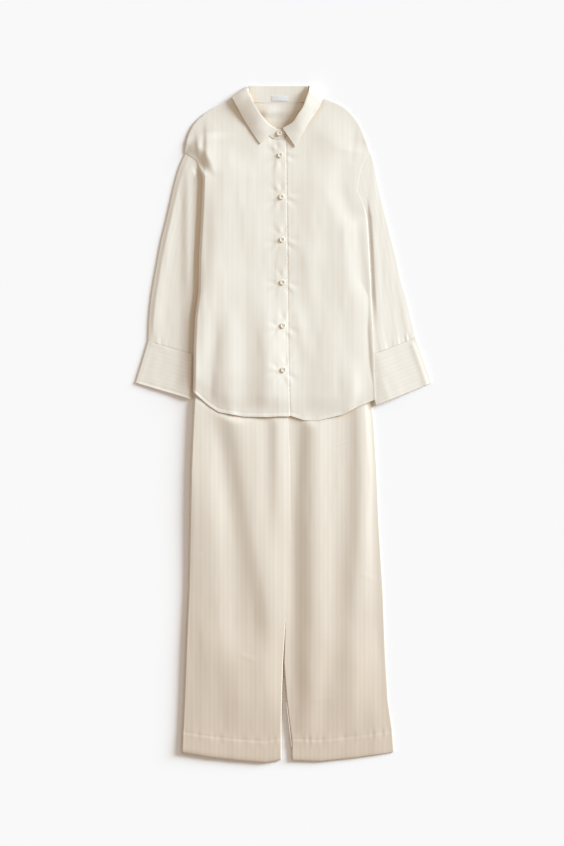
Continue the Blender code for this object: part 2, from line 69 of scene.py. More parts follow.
MM = 0.001
Field = np.ndarray
Placed = tuple[Field, Field, Field, Field, Field]
Place = Callable[[Field, Field], Placed]
Height = Callable[[Field, Field], Field]

# Cloth, the height that a layer takes up, and the gap between two that touch
WALL = 0.7
LAYER = 1.5
CLOSE = 0.05

# The map that holds each point's place in the cut cloth
CUT_MAP = "cloth"


class Worn(Enum):
    """Which side of the wearer a piece is on; the value is its direction along X."""

    RIGHT = -1
    LEFT = 1

    @property
    def word(self) -> str:
        """The side as piece names spell it."""
        return self.name.lower()

    def pick(self, right: object, left: object) -> object:
        """The one of two things that is on this side."""
        return right if self is Worn.RIGHT else left


class Grain(Enum):
    """How a piece is cut from the striped cloth."""

    ALONG = "stripes run down the piece"
    ACROSS = "stripes run round the piece"


class Reach(NamedTuple):
    """How far a panel's edge reaches at a level."""

    y: float
    x: float


class Span(NamedTuple):
    """Both outer edges of the trousers at a level."""

    y: float
    left: float
    right: float


class Hem(NamedTuple):
    """A point of a hem line."""

    x: float
    y: float


class Fold(NamedTuple):
    """A ridge, or a trough with a negative height, from its top point to its bottom one.

    bow swings its middle along X, lean above 0 makes its left side the steeper one, and the
    two fades are the shares of its length over which it rises and dies away.
    """

    x0: float
    y0: float
    x1: float
    y1: float
    bow: float
    width: float
    height: float
    lean: float = 0.0
    fade_in: float = 0.2
    fade_out: float = 0.3


class Crease(NamedTuple):
    """A short straight line pressed into cloth, or a raised one with a height above 0."""

    x0: float
    y0: float
    x1: float
    y1: float
    width: float
    height: float


class Section(NamedTuple):
    """A cut across a sleeve: its outer and inner end, and how far it bows to the neck."""

    out_x: float
    out_y: float
    in_x: float
    in_y: float
    bow: float


class Strip(NamedTuple):
    """A cut across the collar's outer face, from its roll to its lower edge."""

    roll_x: float
    roll_y: float
    roll_z: float
    low_x: float
    low_y: float
    low_z: float


def table(kind: Callable[..., tuple], *rows: tuple[float, ...]) -> tuple:
    """A table whose rows have the named columns of their kind."""
    return tuple(kind(*row) for row in rows)


def smooth(share: Field) -> Field:
    """0 to 1 with soft ends."""
    share = np.clip(share, 0.0, 1.0)
    return share * share * (3 - 2 * share)


def quarter_round(share: Field) -> Field:
    """0 to 1 along a quarter of a circle, steep at first."""
    return np.sqrt(1 - (1 - np.clip(share, 0.0, 1.0)) ** 2)


def spread(share: Field) -> Field:
    """Even steps made closer towards both ends."""
    return 0.5 - 0.5 * np.cos(math.pi * share)


def round_tube(across: Field) -> tuple[Field, Field]:
    """Goes once round a flattened tube, over its upper side and back under it.

    Args:
        across: 0 to 1.

    Returns:
        Whether a point is on the upper side, and its share of the way to the far edge.
    """
    turn = across * 2
    over = turn < 1
    return over, spread(np.where(over, turn, 2 - turn))


def edged(share: Field, steps: int, rim: float) -> Field:
    """Even steps with a narrow first and last one, so that a cut edge stays crisp.

    Args:
        share: 0 to 1 in even steps.
        steps: How many steps there are.
        rim: The size of the first and the last one.

    Returns:
        0 to 1.
    """
    return np.interp(share * steps, [0, 1, steps - 1, steps], [0, rim, 1 - rim, 1])


def bell(distance: Field, width: float) -> Field:
    """1 in the middle, falling to nothing on both sides."""
    return np.exp(-((distance / width) ** 2))


def along(lines: Sequence[tuple], key: str, value: str, place: Field) -> Field:
    """Reads a column of a table between its rows.

    Args:
        lines: The rows, in any order.
        key: The column that place is measured in.
        value: The column to read.
        place: Where to read it.

    Returns:
        The column's value at each place, straight between rows.
    """
    rows = sorted(lines, key=lambda row: getattr(row, key))
    levels = [getattr(row, key) for row in rows]
    return np.interp(place, levels, [getattr(row, value) for row in rows])


def flowing(lines: Sequence[tuple], place: Field) -> Field:
    """Reads every column of a table on a curve through its rows.

    Args:
        lines: The rows in order.
        place: Row numbers, with parts of a row between them.

    Returns:
        An array of one row per place.
    """
    rows = np.array(lines, float)
    rows = np.vstack([2 * rows[0] - rows[1], rows, 2 * rows[-1] - rows[-2]])
    index = np.clip(np.floor(place).astype(int), 0, len(lines) - 2)
    share = (place - index)[:, None]
    before, start, end, after = (rows[index + step] for step in range(4))
    return 0.5 * (
        2 * start
        + (end - before) * share
        + (2 * before - 5 * start + 4 * end - after) * share**2
        + (3 * start - before - 3 * end + after) * share**3
    )


def relief(folds: Sequence[Fold], x: Field, y: Field) -> Field:
    """Adds up folds.

    Args:
        folds: The folds.
        x: Where, along X.
        y: Where, along Y.

    Returns:
        The height that the folds add.
    """
    total = np.zeros_like(x)
    for fold in folds:
        share = np.clip((fold.y0 - y) / (fold.y0 - fold.y1), 0.0, 1.0)
        middle = fold.x0 + (fold.x1 - fold.x0) * share + fold.bow * 4 * share * (1 - share)
        fade = smooth(share / fold.fade_in) * smooth((1 - share) / fold.fade_out)
        off = x - middle
        width = fold.width * np.where(off < 0, 1 - fold.lean, 1 + fold.lean)
        total += fold.height * fade * np.exp(-((off / width) ** 2))
    return total


def pressed(creases: Sequence[Crease], x: Field, y: Field) -> Field:
    """Adds up creases.

    Args:
        creases: The creases.
        x: Where, along X.
        y: Where, along Y.

    Returns:
        The height that the creases add.
    """
    total = np.zeros_like(x)
    for line in creases:
        run_x, run_y = line.x1 - line.x0, line.y1 - line.y0
        share = ((x - line.x0) * run_x + (y - line.y0) * run_y) / (run_x**2 + run_y**2)
        share = np.clip(share, 0.0, 1.0)
        away = np.hypot(x - line.x0 - run_x * share, y - line.y0 - run_y * share)
        total += line.height * bell(away, line.width) * smooth(4 * share * (1 - share) + 0.2)
    return total


def ripple(x: Field, y: Field, size_x: float, size_y: float, seed: int) -> Field:
    """Soft uneven cloth, the same each time.

    Args:
        x: Where, along X.
        y: Where, along Y.
        size_x: How wide a swell is.
        size_y: How long a swell is.
        seed: Which pattern.

    Returns:
        From -1 to 1.
    """
    cells = np.random.default_rng(seed).uniform(-1, 1, (64, 64))
    u, v = x / size_x, y / size_y
    i, j = np.floor(u).astype(int), np.floor(v).astype(int)
    u, v = smooth(u - i), smooth(v - j)
    low = cells[i % 64, j % 64] * (1 - u) + cells[(i + 1) % 64, j % 64] * u
    high = cells[i % 64, (j + 1) % 64] * (1 - u) + cells[(i + 1) % 64, (j + 1) % 64] * u
    return low * (1 - v) + high * v


def away_from(line: Sequence[tuple[float, float]], x: Field, y: Field) -> Field:
    """How far points are from a line of straight runs.

    Args:
        line: Its points in order.
        x: Where, along X.
        y: Where, along Y.

    Returns:
        The distance.
    """
    nearest = np.full_like(x, 1e9)
    for (ax, ay), (bx, by) in zip(line, line[1:]):
        run_x, run_y = bx - ax, by - ay
        share = ((x - ax) * run_x + (y - ay) * run_y) / max(run_x**2 + run_y**2, 1e-9)
        share = np.clip(share, 0.0, 1.0)
        nearest = np.minimum(nearest, np.hypot(x - ax - run_x * share, y - ay - run_y * share))
    return nearest


def depth_inside(outline: Sequence[tuple[float, float]], x: Field, y: Field) -> Field:
    """How far points are inside a closed outline.

    Args:
        outline: Its corners in order.
        x: Where, along X.
        y: Where, along Y.

    Returns:
        The distance to the outline, below 0 outside it.
    """
    closed = [*outline, outline[0]]
    inside = np.zeros(x.shape, bool)
    for (ax, ay), (bx, by) in zip(closed, closed[1:]):
        if ay != by:
            crossing = ax + (bx - ax) * (y - ay) / (by - ay)
            inside ^= ((ay > y) != (by > y)) & (x < crossing)
    nearest = away_from(closed, x, y)
    return np.where(inside, nearest, -nearest)


def nearest(points: Field, values: Field, x: Field, y: Field) -> Field:
    """Reads what belongs to the nearest of some points.

    Args:
        points: Their x and y, one per row.
        values: What belongs to each.
        x: Where to read it, along X.
        y: Where to read it, along Y.

    Returns:
        The nearest point's value.
    """
    far = (x[..., None] - points[:, 0]) ** 2 + (y[..., None] - points[:, 1]) ** 2
    return values[np.argmin(far, axis=-1)]


def neck_lift(x: Field) -> Field:
    """How much higher the collar and the cloth under it lie on the wearer's right."""
    return 2.4 * smooth((-20 - x) / 40)


def linked(name: str, data: bpy.types.ID) -> bpy.types.Object:
    """Makes an object and links it to the scene.

    Args:
        name: Its name.
        data: Its mesh, light or camera.

    Returns:
        The object.
    """
    made = bpy.data.objects.new(name, data)
    bpy.context.scene.collection.objects.link(made)
    return made


def settled(name: str, shape: bmesh.types.BMesh) -> bpy.types.Mesh:
    """Turns a bmesh into a mesh.

    Args:
        name: The mesh's name.
        shape: The bmesh, which is freed.

    Returns:
        The mesh.
    """
    mesh = bpy.data.meshes.new(name)
    shape.to_mesh(mesh)
    shape.free()
    return mesh


@dataclass
class Cloth:
    """A piece of cloth made from a grid: a panel, or a tube where its two sides join.

    place(across, down) gives x, y and z, and the place in the cut cloth as u and v, all in
    millimetres. offset is the side of the grid that the wall is on, as Solidify has it.
    """

    node: str
    columns: int
    rows: int
    place: Place
    finish: bpy.types.Material
    slot: str
    wall: float = WALL
    offset: float = 1.0
    tube: bool = False
    rim: float = 0.0004

    def build(self) -> bpy.types.Object:
        """Builds the piece.

        Returns:
            Its object, riding on the frame and standing for its node.
        """
        grid = bmesh.new()
        flat = grid.loops.layers.uv.new(CUT_MAP)
        bmesh.ops.create_grid(grid, x_segments=self.columns, y_segments=self.rows, size=0.5)
        grid.verts.ensure_lookup_table()
        start = np.array([vertex.co for vertex in grid.verts])
        across = np.clip(start[:, 0] + 0.5, 0.0, 1.0)
        down = edged(np.clip(0.5 - start[:, 1], 0.0, 1.0), self.rows, self.rim)
        x, y, z, u, v = self.place(across, down)
        for vertex, point in zip(grid.verts, np.stack([x, y, z], 1) * MM):
            vertex.co = point
        cut = (np.stack([u, v], 1) * MM).tolist()
        for face in grid.faces:
            for corner in face.loops:
                corner[flat].uv = cut[corner.vert.index]
        if self.tube:
            self.close(grid)
        mesh = settled(f"{self.node}_cloth", grid)
        mesh.materials.append(self.finish)
        mesh.shade_smooth()
        piece = linked(mesh.name, mesh)
        wall = piece.modifiers.new("wall", "SOLIDIFY")
        wall.thickness = self.wall * MM
        wall.offset = self.offset
        return take(piece, self.slot, self.node)

    def close(self, grid: bmesh.types.BMesh) -> None:
        """Joins a tube's two sides and turns its faces outwards.

        Args:
            grid: The tube's mesh.
        """
        bmesh.ops.remove_doubles(grid, verts=grid.verts, dist=0.01 * MM)
        bmesh.ops.recalc_face_normals(grid, faces=grid.faces)
        top = max(grid.faces, key=lambda face: face.calc_center_median().z)
        if top.normal.z < 0:
            bmesh.ops.reverse_faces(grid, faces=grid.faces)


def take(piece: bpy.types.Object, slot: str, *nodes: str) -> bpy.types.Object:
    """Puts a finished piece on the frame.

    Args:
        piece: The object, in place.
        slot: Not used.
        *nodes: The nodes that it stands for.

    Returns:
        The same object.
    """
    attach(piece, "root")
    if nodes:
        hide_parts(*nodes)
    LOG.info("%s: %d faces", piece.name, len(piece.data.polygons))
    return piece


@dataclass
class Graph:
    """Adds nodes to one shader tree and joins them."""

    tree: bpy.types.NodeTree

    def node(self, kind: str, **settings: object) -> bpy.types.Node:
        """Adds a node.

        Args:
            kind: The node's type name.
            **settings: Its properties.

        Returns:
            The node.
        """
        made = self.tree.nodes.new(kind)
        for name, value in settings.items():
            setattr(made, name, value)
        return made

    def put(self, node: bpy.types.Node, values: dict[str | int, object]) -> bpy.types.Node:
        """Gives a node's inputs their values.

        Args:
            node: The node.
            values: Sockets or plain values, by the input's name or number.

        Returns:
            The same node.
        """
        for name, value in values.items():
            if isinstance(value, bpy.types.NodeSocket):
                self.tree.links.new(value, node.inputs[name])
            else:
                node.inputs[name].default_value = value
        return node

    def math(self, operation: str, *values: object) -> bpy.types.NodeSocket:
        """A Math node's result, from its inputs in order: sockets or numbers."""
        made = self.node("ShaderNodeMath", operation=operation)
        return self.put(made, dict(enumerate(values))).outputs[0]

    def mix(
        self, share: object, first: object, second: object, blend: str = "MIX"
    ) -> bpy.types.NodeSocket:
        """The blend of two colours or sockets, by the second one's share."""
        made = self.node("ShaderNodeMix", data_type="RGBA", blend_type=blend)
        return self.put(made, {"Factor": share, 6: first, 7: second}).outputs[2]

    def noise(self, vector: object, scale: float, detail: float = 2.0) -> bpy.types.NodeSocket:
        """A noise's value where vector says, at a scale and down to a detail."""
        made = self.node("ShaderNodeTexNoise")
        return self.put(made, {"Vector": vector, "Scale": scale, "Detail": detail}).outputs["Fac"]

    def streaks(
        self, vector: object, scale: tuple[float, float, float], detail: float
    ) -> bpy.types.NodeSocket:
        """A noise's value, its coordinates scaled along each axis."""
        made = self.put(self.node("ShaderNodeMapping"), {"Vector": vector, "Scale": scale})
        return self.noise(made.outputs["Vector"], 1.0, detail)

    def part(self, vector: object, axis: int) -> bpy.types.NodeSocket:
        """One part of a vector: 0 for x, 1 for y and 2 for z."""
        return self.put(self.node("ShaderNodeSeparateXYZ"), {0: vector}).outputs[axis]

    def ramp(
        self, value: object, low: float, high: float, curve: str = "LINEAR"
    ) -> bpy.types.NodeSocket:
        """0 to 1 as value goes from low to high."""
        made = self.node("ShaderNodeMapRange", interpolation_type=curve)
        return self.put(made, {"Value": value, "From Min": low, "From Max": high}).outputs[0]

    def bump(self, height: object, strength: float, distance: float) -> bpy.types.NodeSocket:
        """The normal of a surface raised by height; distance is in metres."""
        values = {"Height": height, "Strength": strength, "Distance": distance}
        return self.put(self.node("ShaderNodeBump"), values).outputs["Normal"]


class Shader(Graph):
    """The shader tree of a new material, round its Principled BSDF."""

    def __init__(self, name: str) -> None:
        """Makes the material.

        Args:
            name: Its name.
        """
        self.material = bpy.data.materials.new(name)
        self.material.use_nodes = True
        super().__init__(self.material.node_tree)

    def place(self) -> bpy.types.NodeSocket:
        """The place in the object, in metres."""
        return self.node("ShaderNodeTexCoord").outputs["Object"]

    def cut(self) -> bpy.types.NodeSocket:
        """The place in the cut cloth, in metres."""
        return self.node("ShaderNodeUVMap", uv_map=CUT_MAP).outputs["UV"]

    def dress(self, looks: dict[str, object]) -> bpy.types.Material:
        """Gives the Principled BSDF its values and hands over the material."""
        self.put(self.tree.nodes["Principled BSDF"], looks)
        return self.material


def colour(rgb: Sequence[float], share: float = 1.0) -> tuple[float, float, float, float]:
    """A colour with its alpha, darkened to a share of itself."""
    return (*(share * part for part in rgb), 1.0)


@dataclass(frozen=True)
class WovenStripe:
    """The tonal satin stripe, as a node group that every striped cloth shares.

    It reads the place in the cut cloth in metres: in each spacing two bands, one of them
    stronger, long uneven yarns beside them, and the satin's floats as a height.
    """

    name: str = "woven stripe"
    fine: float = 0.65
    broad: float = 0.35
    full_at: float = 0.9
    yarn_scale: tuple[float, float, float] = (260.0, 5.0, 1.0)
    float_scale: tuple[float, float, float] = (2400.0, 260.0, 1.0)

    def build(self) -> bpy.types.NodeTree:
        """Builds the group once.

        Returns:
            The group, with Stripe, Yarn and Float as its outputs.
        """
        known = bpy.data.node_groups.get(self.name)
        if known:
            return known
        graph = Graph(bpy.data.node_groups.new(self.name, "ShaderNodeTree"))
        faces = graph.tree.interface
        faces.new_socket("Cloth", in_out="INPUT", socket_type="NodeSocketVector")
        faces.new_socket("Spacing", in_out="INPUT", socket_type="NodeSocketFloat")
        for word in ("Stripe", "Yarn", "Float"):
            faces.new_socket(word, in_out="OUTPUT", socket_type="NodeSocketFloat")
        given = graph.node("NodeGroupInput")
        cloth = given.outputs["Cloth"]
        turns = graph.math("DIVIDE", graph.part(cloth, 0), given.outputs["Spacing"])
        turns = graph.math("MULTIPLY", turns, 2 * math.pi)
        broad = graph.math("MULTIPLY", graph.math("SINE", turns), self.broad)
        fine = graph.math("SINE", graph.math("MULTIPLY", turns, 2.0))
        bands = graph.math("ADD", graph.math("MULTIPLY", fine, self.fine), broad)
        graph.put(graph.node("NodeGroupOutput"), {
            "Stripe": graph.ramp(bands, -self.full_at, self.full_at, "SMOOTHSTEP"),
            "Yarn": graph.streaks(cloth, self.yarn_scale, 3.0),
            "Float": graph.streaks(cloth, self.float_scale, 1.0),
        })
        return graph.tree


@dataclass(frozen=True)
class HollowShade:
    """Marks how far cloth lies below the cloth round it, where painted shade darkens and warms it.

    Lengths are in millimetres. The mark is a value from 0 to 1 on each point.
    """

    name: str = "hollow_shade"
    cell: float = 5.0
    wide: float = 12.0
    clear: float = 0.3
    deep: float = 4.0
    half_x: float = 420.0
    half_y: float = 820.0
    reach: int = 12

    def mark(self, pieces: Sequence[bpy.types.Object]) -> None:
        """Marks every piece of cloth.

        Args:
            pieces: The pieces, of which those without a cut are left out.
        """
        cloths = [piece.data for piece in pieces if piece.data.uv_layers]
        points = [self.points(mesh) for mesh in cloths]
        surface = self.soften(self.highest(np.vstack(points)))
        for mesh, spots in zip(cloths, points):
            below = self.read(surface, spots) - spots[:, 2]
            share = smooth((below - self.clear) / self.deep).astype(np.float32)
            mesh.attributes.new(self.name, "FLOAT", "POINT").data.foreach_set("value", share)

    def points(self, mesh: bpy.types.Mesh) -> Field:
        """Lists a mesh's points.

        Args:
            mesh: The mesh.

        Returns:
            The points in millimetres, one per row.
        """
        flat = np.empty(len(mesh.vertices) * 3, np.float32)
        mesh.vertices.foreach_get("co", flat)
        return flat.reshape(-1, 3) / MM

    def cells(self, points: Field) -> tuple[Field, Field]:
        """Which cell points are in along X and Y, in cells and parts of one."""
        return (points[:, 0] + self.half_x) / self.cell, (points[:, 1] + self.half_y) / self.cell

    def highest(self, points: Field) -> Field:
        """Finds the highest point over each cell of the surface below.

        Args:
            points: The points of all the cloth.

        Returns:
            The heights, 0 where there is no cloth.
        """
        shape = (int(2 * self.half_x / self.cell), int(2 * self.half_y / self.cell))
        surface = np.zeros(shape)
        u, v = self.cells(points)
        np.maximum.at(surface, (u.astype(int), v.astype(int)), points[:, 2])
        return surface

    def soften(self, surface: Field) -> Field:
        """Evens a surface out over its neighbourhood.

        Args:
            surface: The height over each cell.

        Returns:
            The even heights.
        """
        away = np.arange(-self.reach, self.reach + 1) * self.cell
        weights = bell(away, self.wide) / bell(away, self.wide).sum()
        for axis in (0, 1):
            surface = np.apply_along_axis(np.convolve, axis, surface, weights, "same")
        return surface

    def read(self, surface: Field, points: Field) -> Field:
        """Reads a surface's height, straight between the middles of its cells.

        Args:
            surface: The height over each cell.
            points: Where to read it.

        Returns:
            The height at each point.
        """
        u, v = self.cells(points)
        u, v = u - 0.5, v - 0.5
        i, j = u.astype(int), v.astype(int)
        u, v = u - i, v - j
        low = surface[i, j] * (1 - u) + surface[i + 1, j] * u
        high = surface[i, j + 1] * (1 - u) + surface[i + 1, j + 1] * u
        return low * (1 - v) + high * v


@dataclass(frozen=True)
class Satin:
    """Striped viscose satin: its two stripe tones, and darker, warmer ones that it changes to
    further down.

    high and low are the levels, in metres along Y, between which the tones change.
    """

    name: str
    light: tuple[float, float, float]
    dark: tuple[float, float, float]
    low_light: tuple[float, float, float]
    low_dark: tuple[float, float, float]
    high: float = 0.1
    low: float = -0.74
    spacing: float = 0.022
    roughness: float = 0.47
    stripe_gloss: float = 0.03
    sheen: float = 0.12
    # painted shade: the tint multiplied into the colour where the cloth lies in hollows
    hollow_shade: tuple[float, float, float] = (1.0, 0.93, 0.85)
    cloud_scale: float = 9.0
    cloud_share: float = 0.12
    float_share: float = 0.5
    bump_strength: float = 0.35
    bump_depth: float = 0.00004
    sheen_tint: tuple[float, float, float] = (1.0, 0.97, 0.92)

    def build(self) -> bpy.types.Material:
        """Builds the material.

        Returns:
            The material.
        """
        shader = Shader(self.name)
        weave = shader.node("ShaderNodeGroup", node_tree=WovenStripe().build())
        shader.put(weave, {"Cloth": shader.cut(), "Spacing": self.spacing})
        stripe, yarn, floats = (weave.outputs[word] for word in ("Stripe", "Yarn", "Float"))
        place = shader.place()
        cloud = shader.math("SUBTRACT", shader.noise(place, self.cloud_scale), 0.5)
        fall = shader.ramp(shader.part(place, 1), self.high, self.low)
        drift = shader.math("ADD", fall, shader.math("MULTIPLY", cloud, self.cloud_share))
        share = shader.math("ADD", stripe, shader.math("SUBTRACT", yarn, 0.5))
        upper = shader.mix(share, colour(self.dark), colour(self.light))
        lower = shader.mix(share, colour(self.low_dark), colour(self.low_light))
        cloth = shader.mix(drift, upper, lower)
        # painted shade: the hollows mark multiplies the cloth's colour by the hollows tint, darker
        # and warmer
        deep = shader.node("ShaderNodeAttribute", attribute_name=HollowShade().name).outputs["Fac"]
        gloss = shader.math("MULTIPLY", stripe, -self.stripe_gloss)
        raised = shader.math("ADD", shader.math("MULTIPLY", floats, self.float_share), stripe)
        return shader.dress({
            "Base Color": shader.mix(deep, cloth, colour(self.hollow_shade), "MULTIPLY"),
            "Roughness": shader.math("ADD", gloss, self.roughness + self.stripe_gloss / 2),
            "Normal": shader.bump(raised, self.bump_strength, self.bump_depth),
            "Specular IOR Level": 0.38,
            "Sheen Weight": self.sheen,
            "Sheen Roughness": 0.45,
            "Sheen Tint": colour(self.sheen_tint),
        })


@dataclass(frozen=True)
class Thread:
    """Sewing thread: matt, with a twist along it."""

    name: str
    tone: tuple[float, float, float]
    twist_scale: tuple[float, float, float] = (1500.0, 1500.0, 400.0)

    def build(self) -> bpy.types.Material:
        """Builds the material.

        Returns:
            The material.
        """
        shader = Shader(self.name)
        twist = shader.streaks(shader.place(), self.twist_scale, 2.0)
        return shader.dress({
            "Base Color": shader.mix(twist, colour(self.tone, 0.86), colour(self.tone)),
            "Roughness": shader.math("ADD", shader.math("MULTIPLY", twist, 0.2), 0.5),
        })


@dataclass(frozen=True)
class Pearl:
    """Pearly resin: cream with faint cloudy layers, under a polish."""

    name: str = "pearl button"
    pale: tuple[float, float, float] = (0.89, 0.84, 0.74)
    golden: tuple[float, float, float] = (0.78, 0.69, 0.53)
    cloud_scale: tuple[float, float, float] = (220.0, 420.0, 300.0)

    def build(self) -> bpy.types.Material:
        """Builds the material.

        Returns:
            The material.
        """
        shader = Shader(self.name)
        cloud = shader.streaks(shader.place(), self.cloud_scale, 3.0)
        return shader.dress({
            "Base Color": shader.mix(cloud, colour(self.golden), colour(self.pale)),
            "Roughness": shader.math("ADD", shader.math("MULTIPLY", cloud, 0.12), 0.16),
            "Coat Weight": 0.4,
            "Coat Roughness": 0.08,
        })


@dataclass(frozen=True)
class Tape:
    """The label's smooth woven tape."""

    name: str = "label tape"
    white: tuple[float, float, float] = (0.765, 0.78, 0.78)
    rib_scale: float = 900.0

    def build(self) -> bpy.types.Material:
        """Builds the material.

        Returns:
            The material.
        """
        shader = Shader(self.name)
        wave = shader.node("ShaderNodeTexWave", bands_direction="Y")
        shader.put(wave, {"Vector": shader.cut(), "Scale": self.rib_scale})
        ribs = wave.outputs["Fac"]
        return shader.dress({
            "Base Color": shader.mix(ribs, colour(self.white, 0.93), colour(self.white)),
            "Normal": shader.bump(ribs, 0.5, 0.0001),
            "Roughness": 0.5,
        })


@dataclass(frozen=True)
class Paper:
    """The plain white floor."""

    name: str = "white floor"
    white: float = 0.93

    def build(self) -> bpy.types.Material:
        """Builds the material, with no gloss."""
        looks = {"Base Color": colour((self.white,) * 3), "Specular IOR Level": 0.0}
        return Shader(self.name).dress(looks | {"Roughness": 1.0})


@dataclass
class Stitching:
    """Rows of stitches that lie on the cloth, all in one piece."""

    name: str
    finish: bpy.types.Material
    slot: str
    length: float = 2.6
    gap: float = 0.7
    thick: float = 0.27
    sunk: float = 0.08
    mesh: bmesh.types.BMesh = field(default_factory=bmesh.new)
    count: int = 0

    def row(self, path: Sequence[tuple[float, float]], height: Height) -> None:
        """Sews along a line.

        Args:
            path: The line's points in x and y.
            height: The cloth's face at x and y.
        """
        points = np.array(path, float)
        steps = np.hypot(*np.diff(points, axis=0).T)
        walked = np.concatenate([[0.0], np.cumsum(steps)])
        number = max(int(walked[-1] / (self.length + self.gap)), 1)
        pitch = walked[-1] / number
        starts = np.arange(number) * pitch + self.gap / 2
        ends = starts + pitch - self.gap
        x = np.interp([starts, ends], walked, points[:, 0])
        y = np.interp([starts, ends], walked, points[:, 1])
        z = height(x, y) + self.thick * 0.5 - self.sunk
        for index in range(number):
            low = Vector((x[0, index], y[0, index], z[0, index]))
            high = Vector((x[1, index], y[1, index], z[1, index]))
            self.stitch(low, high)

    def stitch(self, start: Vector, end: Vector) -> None:
        """Adds one stitch.

        Args:
            start: Its first end in millimetres.
            end: Its other end.
        """
        run = end - start
        turn = Vector((1, 0, 0)).rotation_difference(run.normalized()).to_matrix().to_4x4()
        size = Matrix.Diagonal((run.length / 2, self.thick / 2, self.thick / 2, 1))
        place = Matrix.Scale(MM, 4) @ Matrix.Translation((start + end) / 2) @ turn @ size
        bmesh.ops.create_icosphere(self.mesh, subdivisions=1, radius=1.0, matrix=place)
        self.count += 1

    def finish_piece(self) -> bpy.types.Object:
        """Makes the rows a piece.

        Returns:
            The object.
        """
        mesh = settled(self.name, self.mesh)
        mesh.materials.append(self.finish)
        mesh.shade_smooth()
        LOG.info("%s: %d stitches", self.name, self.count)
        return take(linked(self.name, mesh), self.slot)


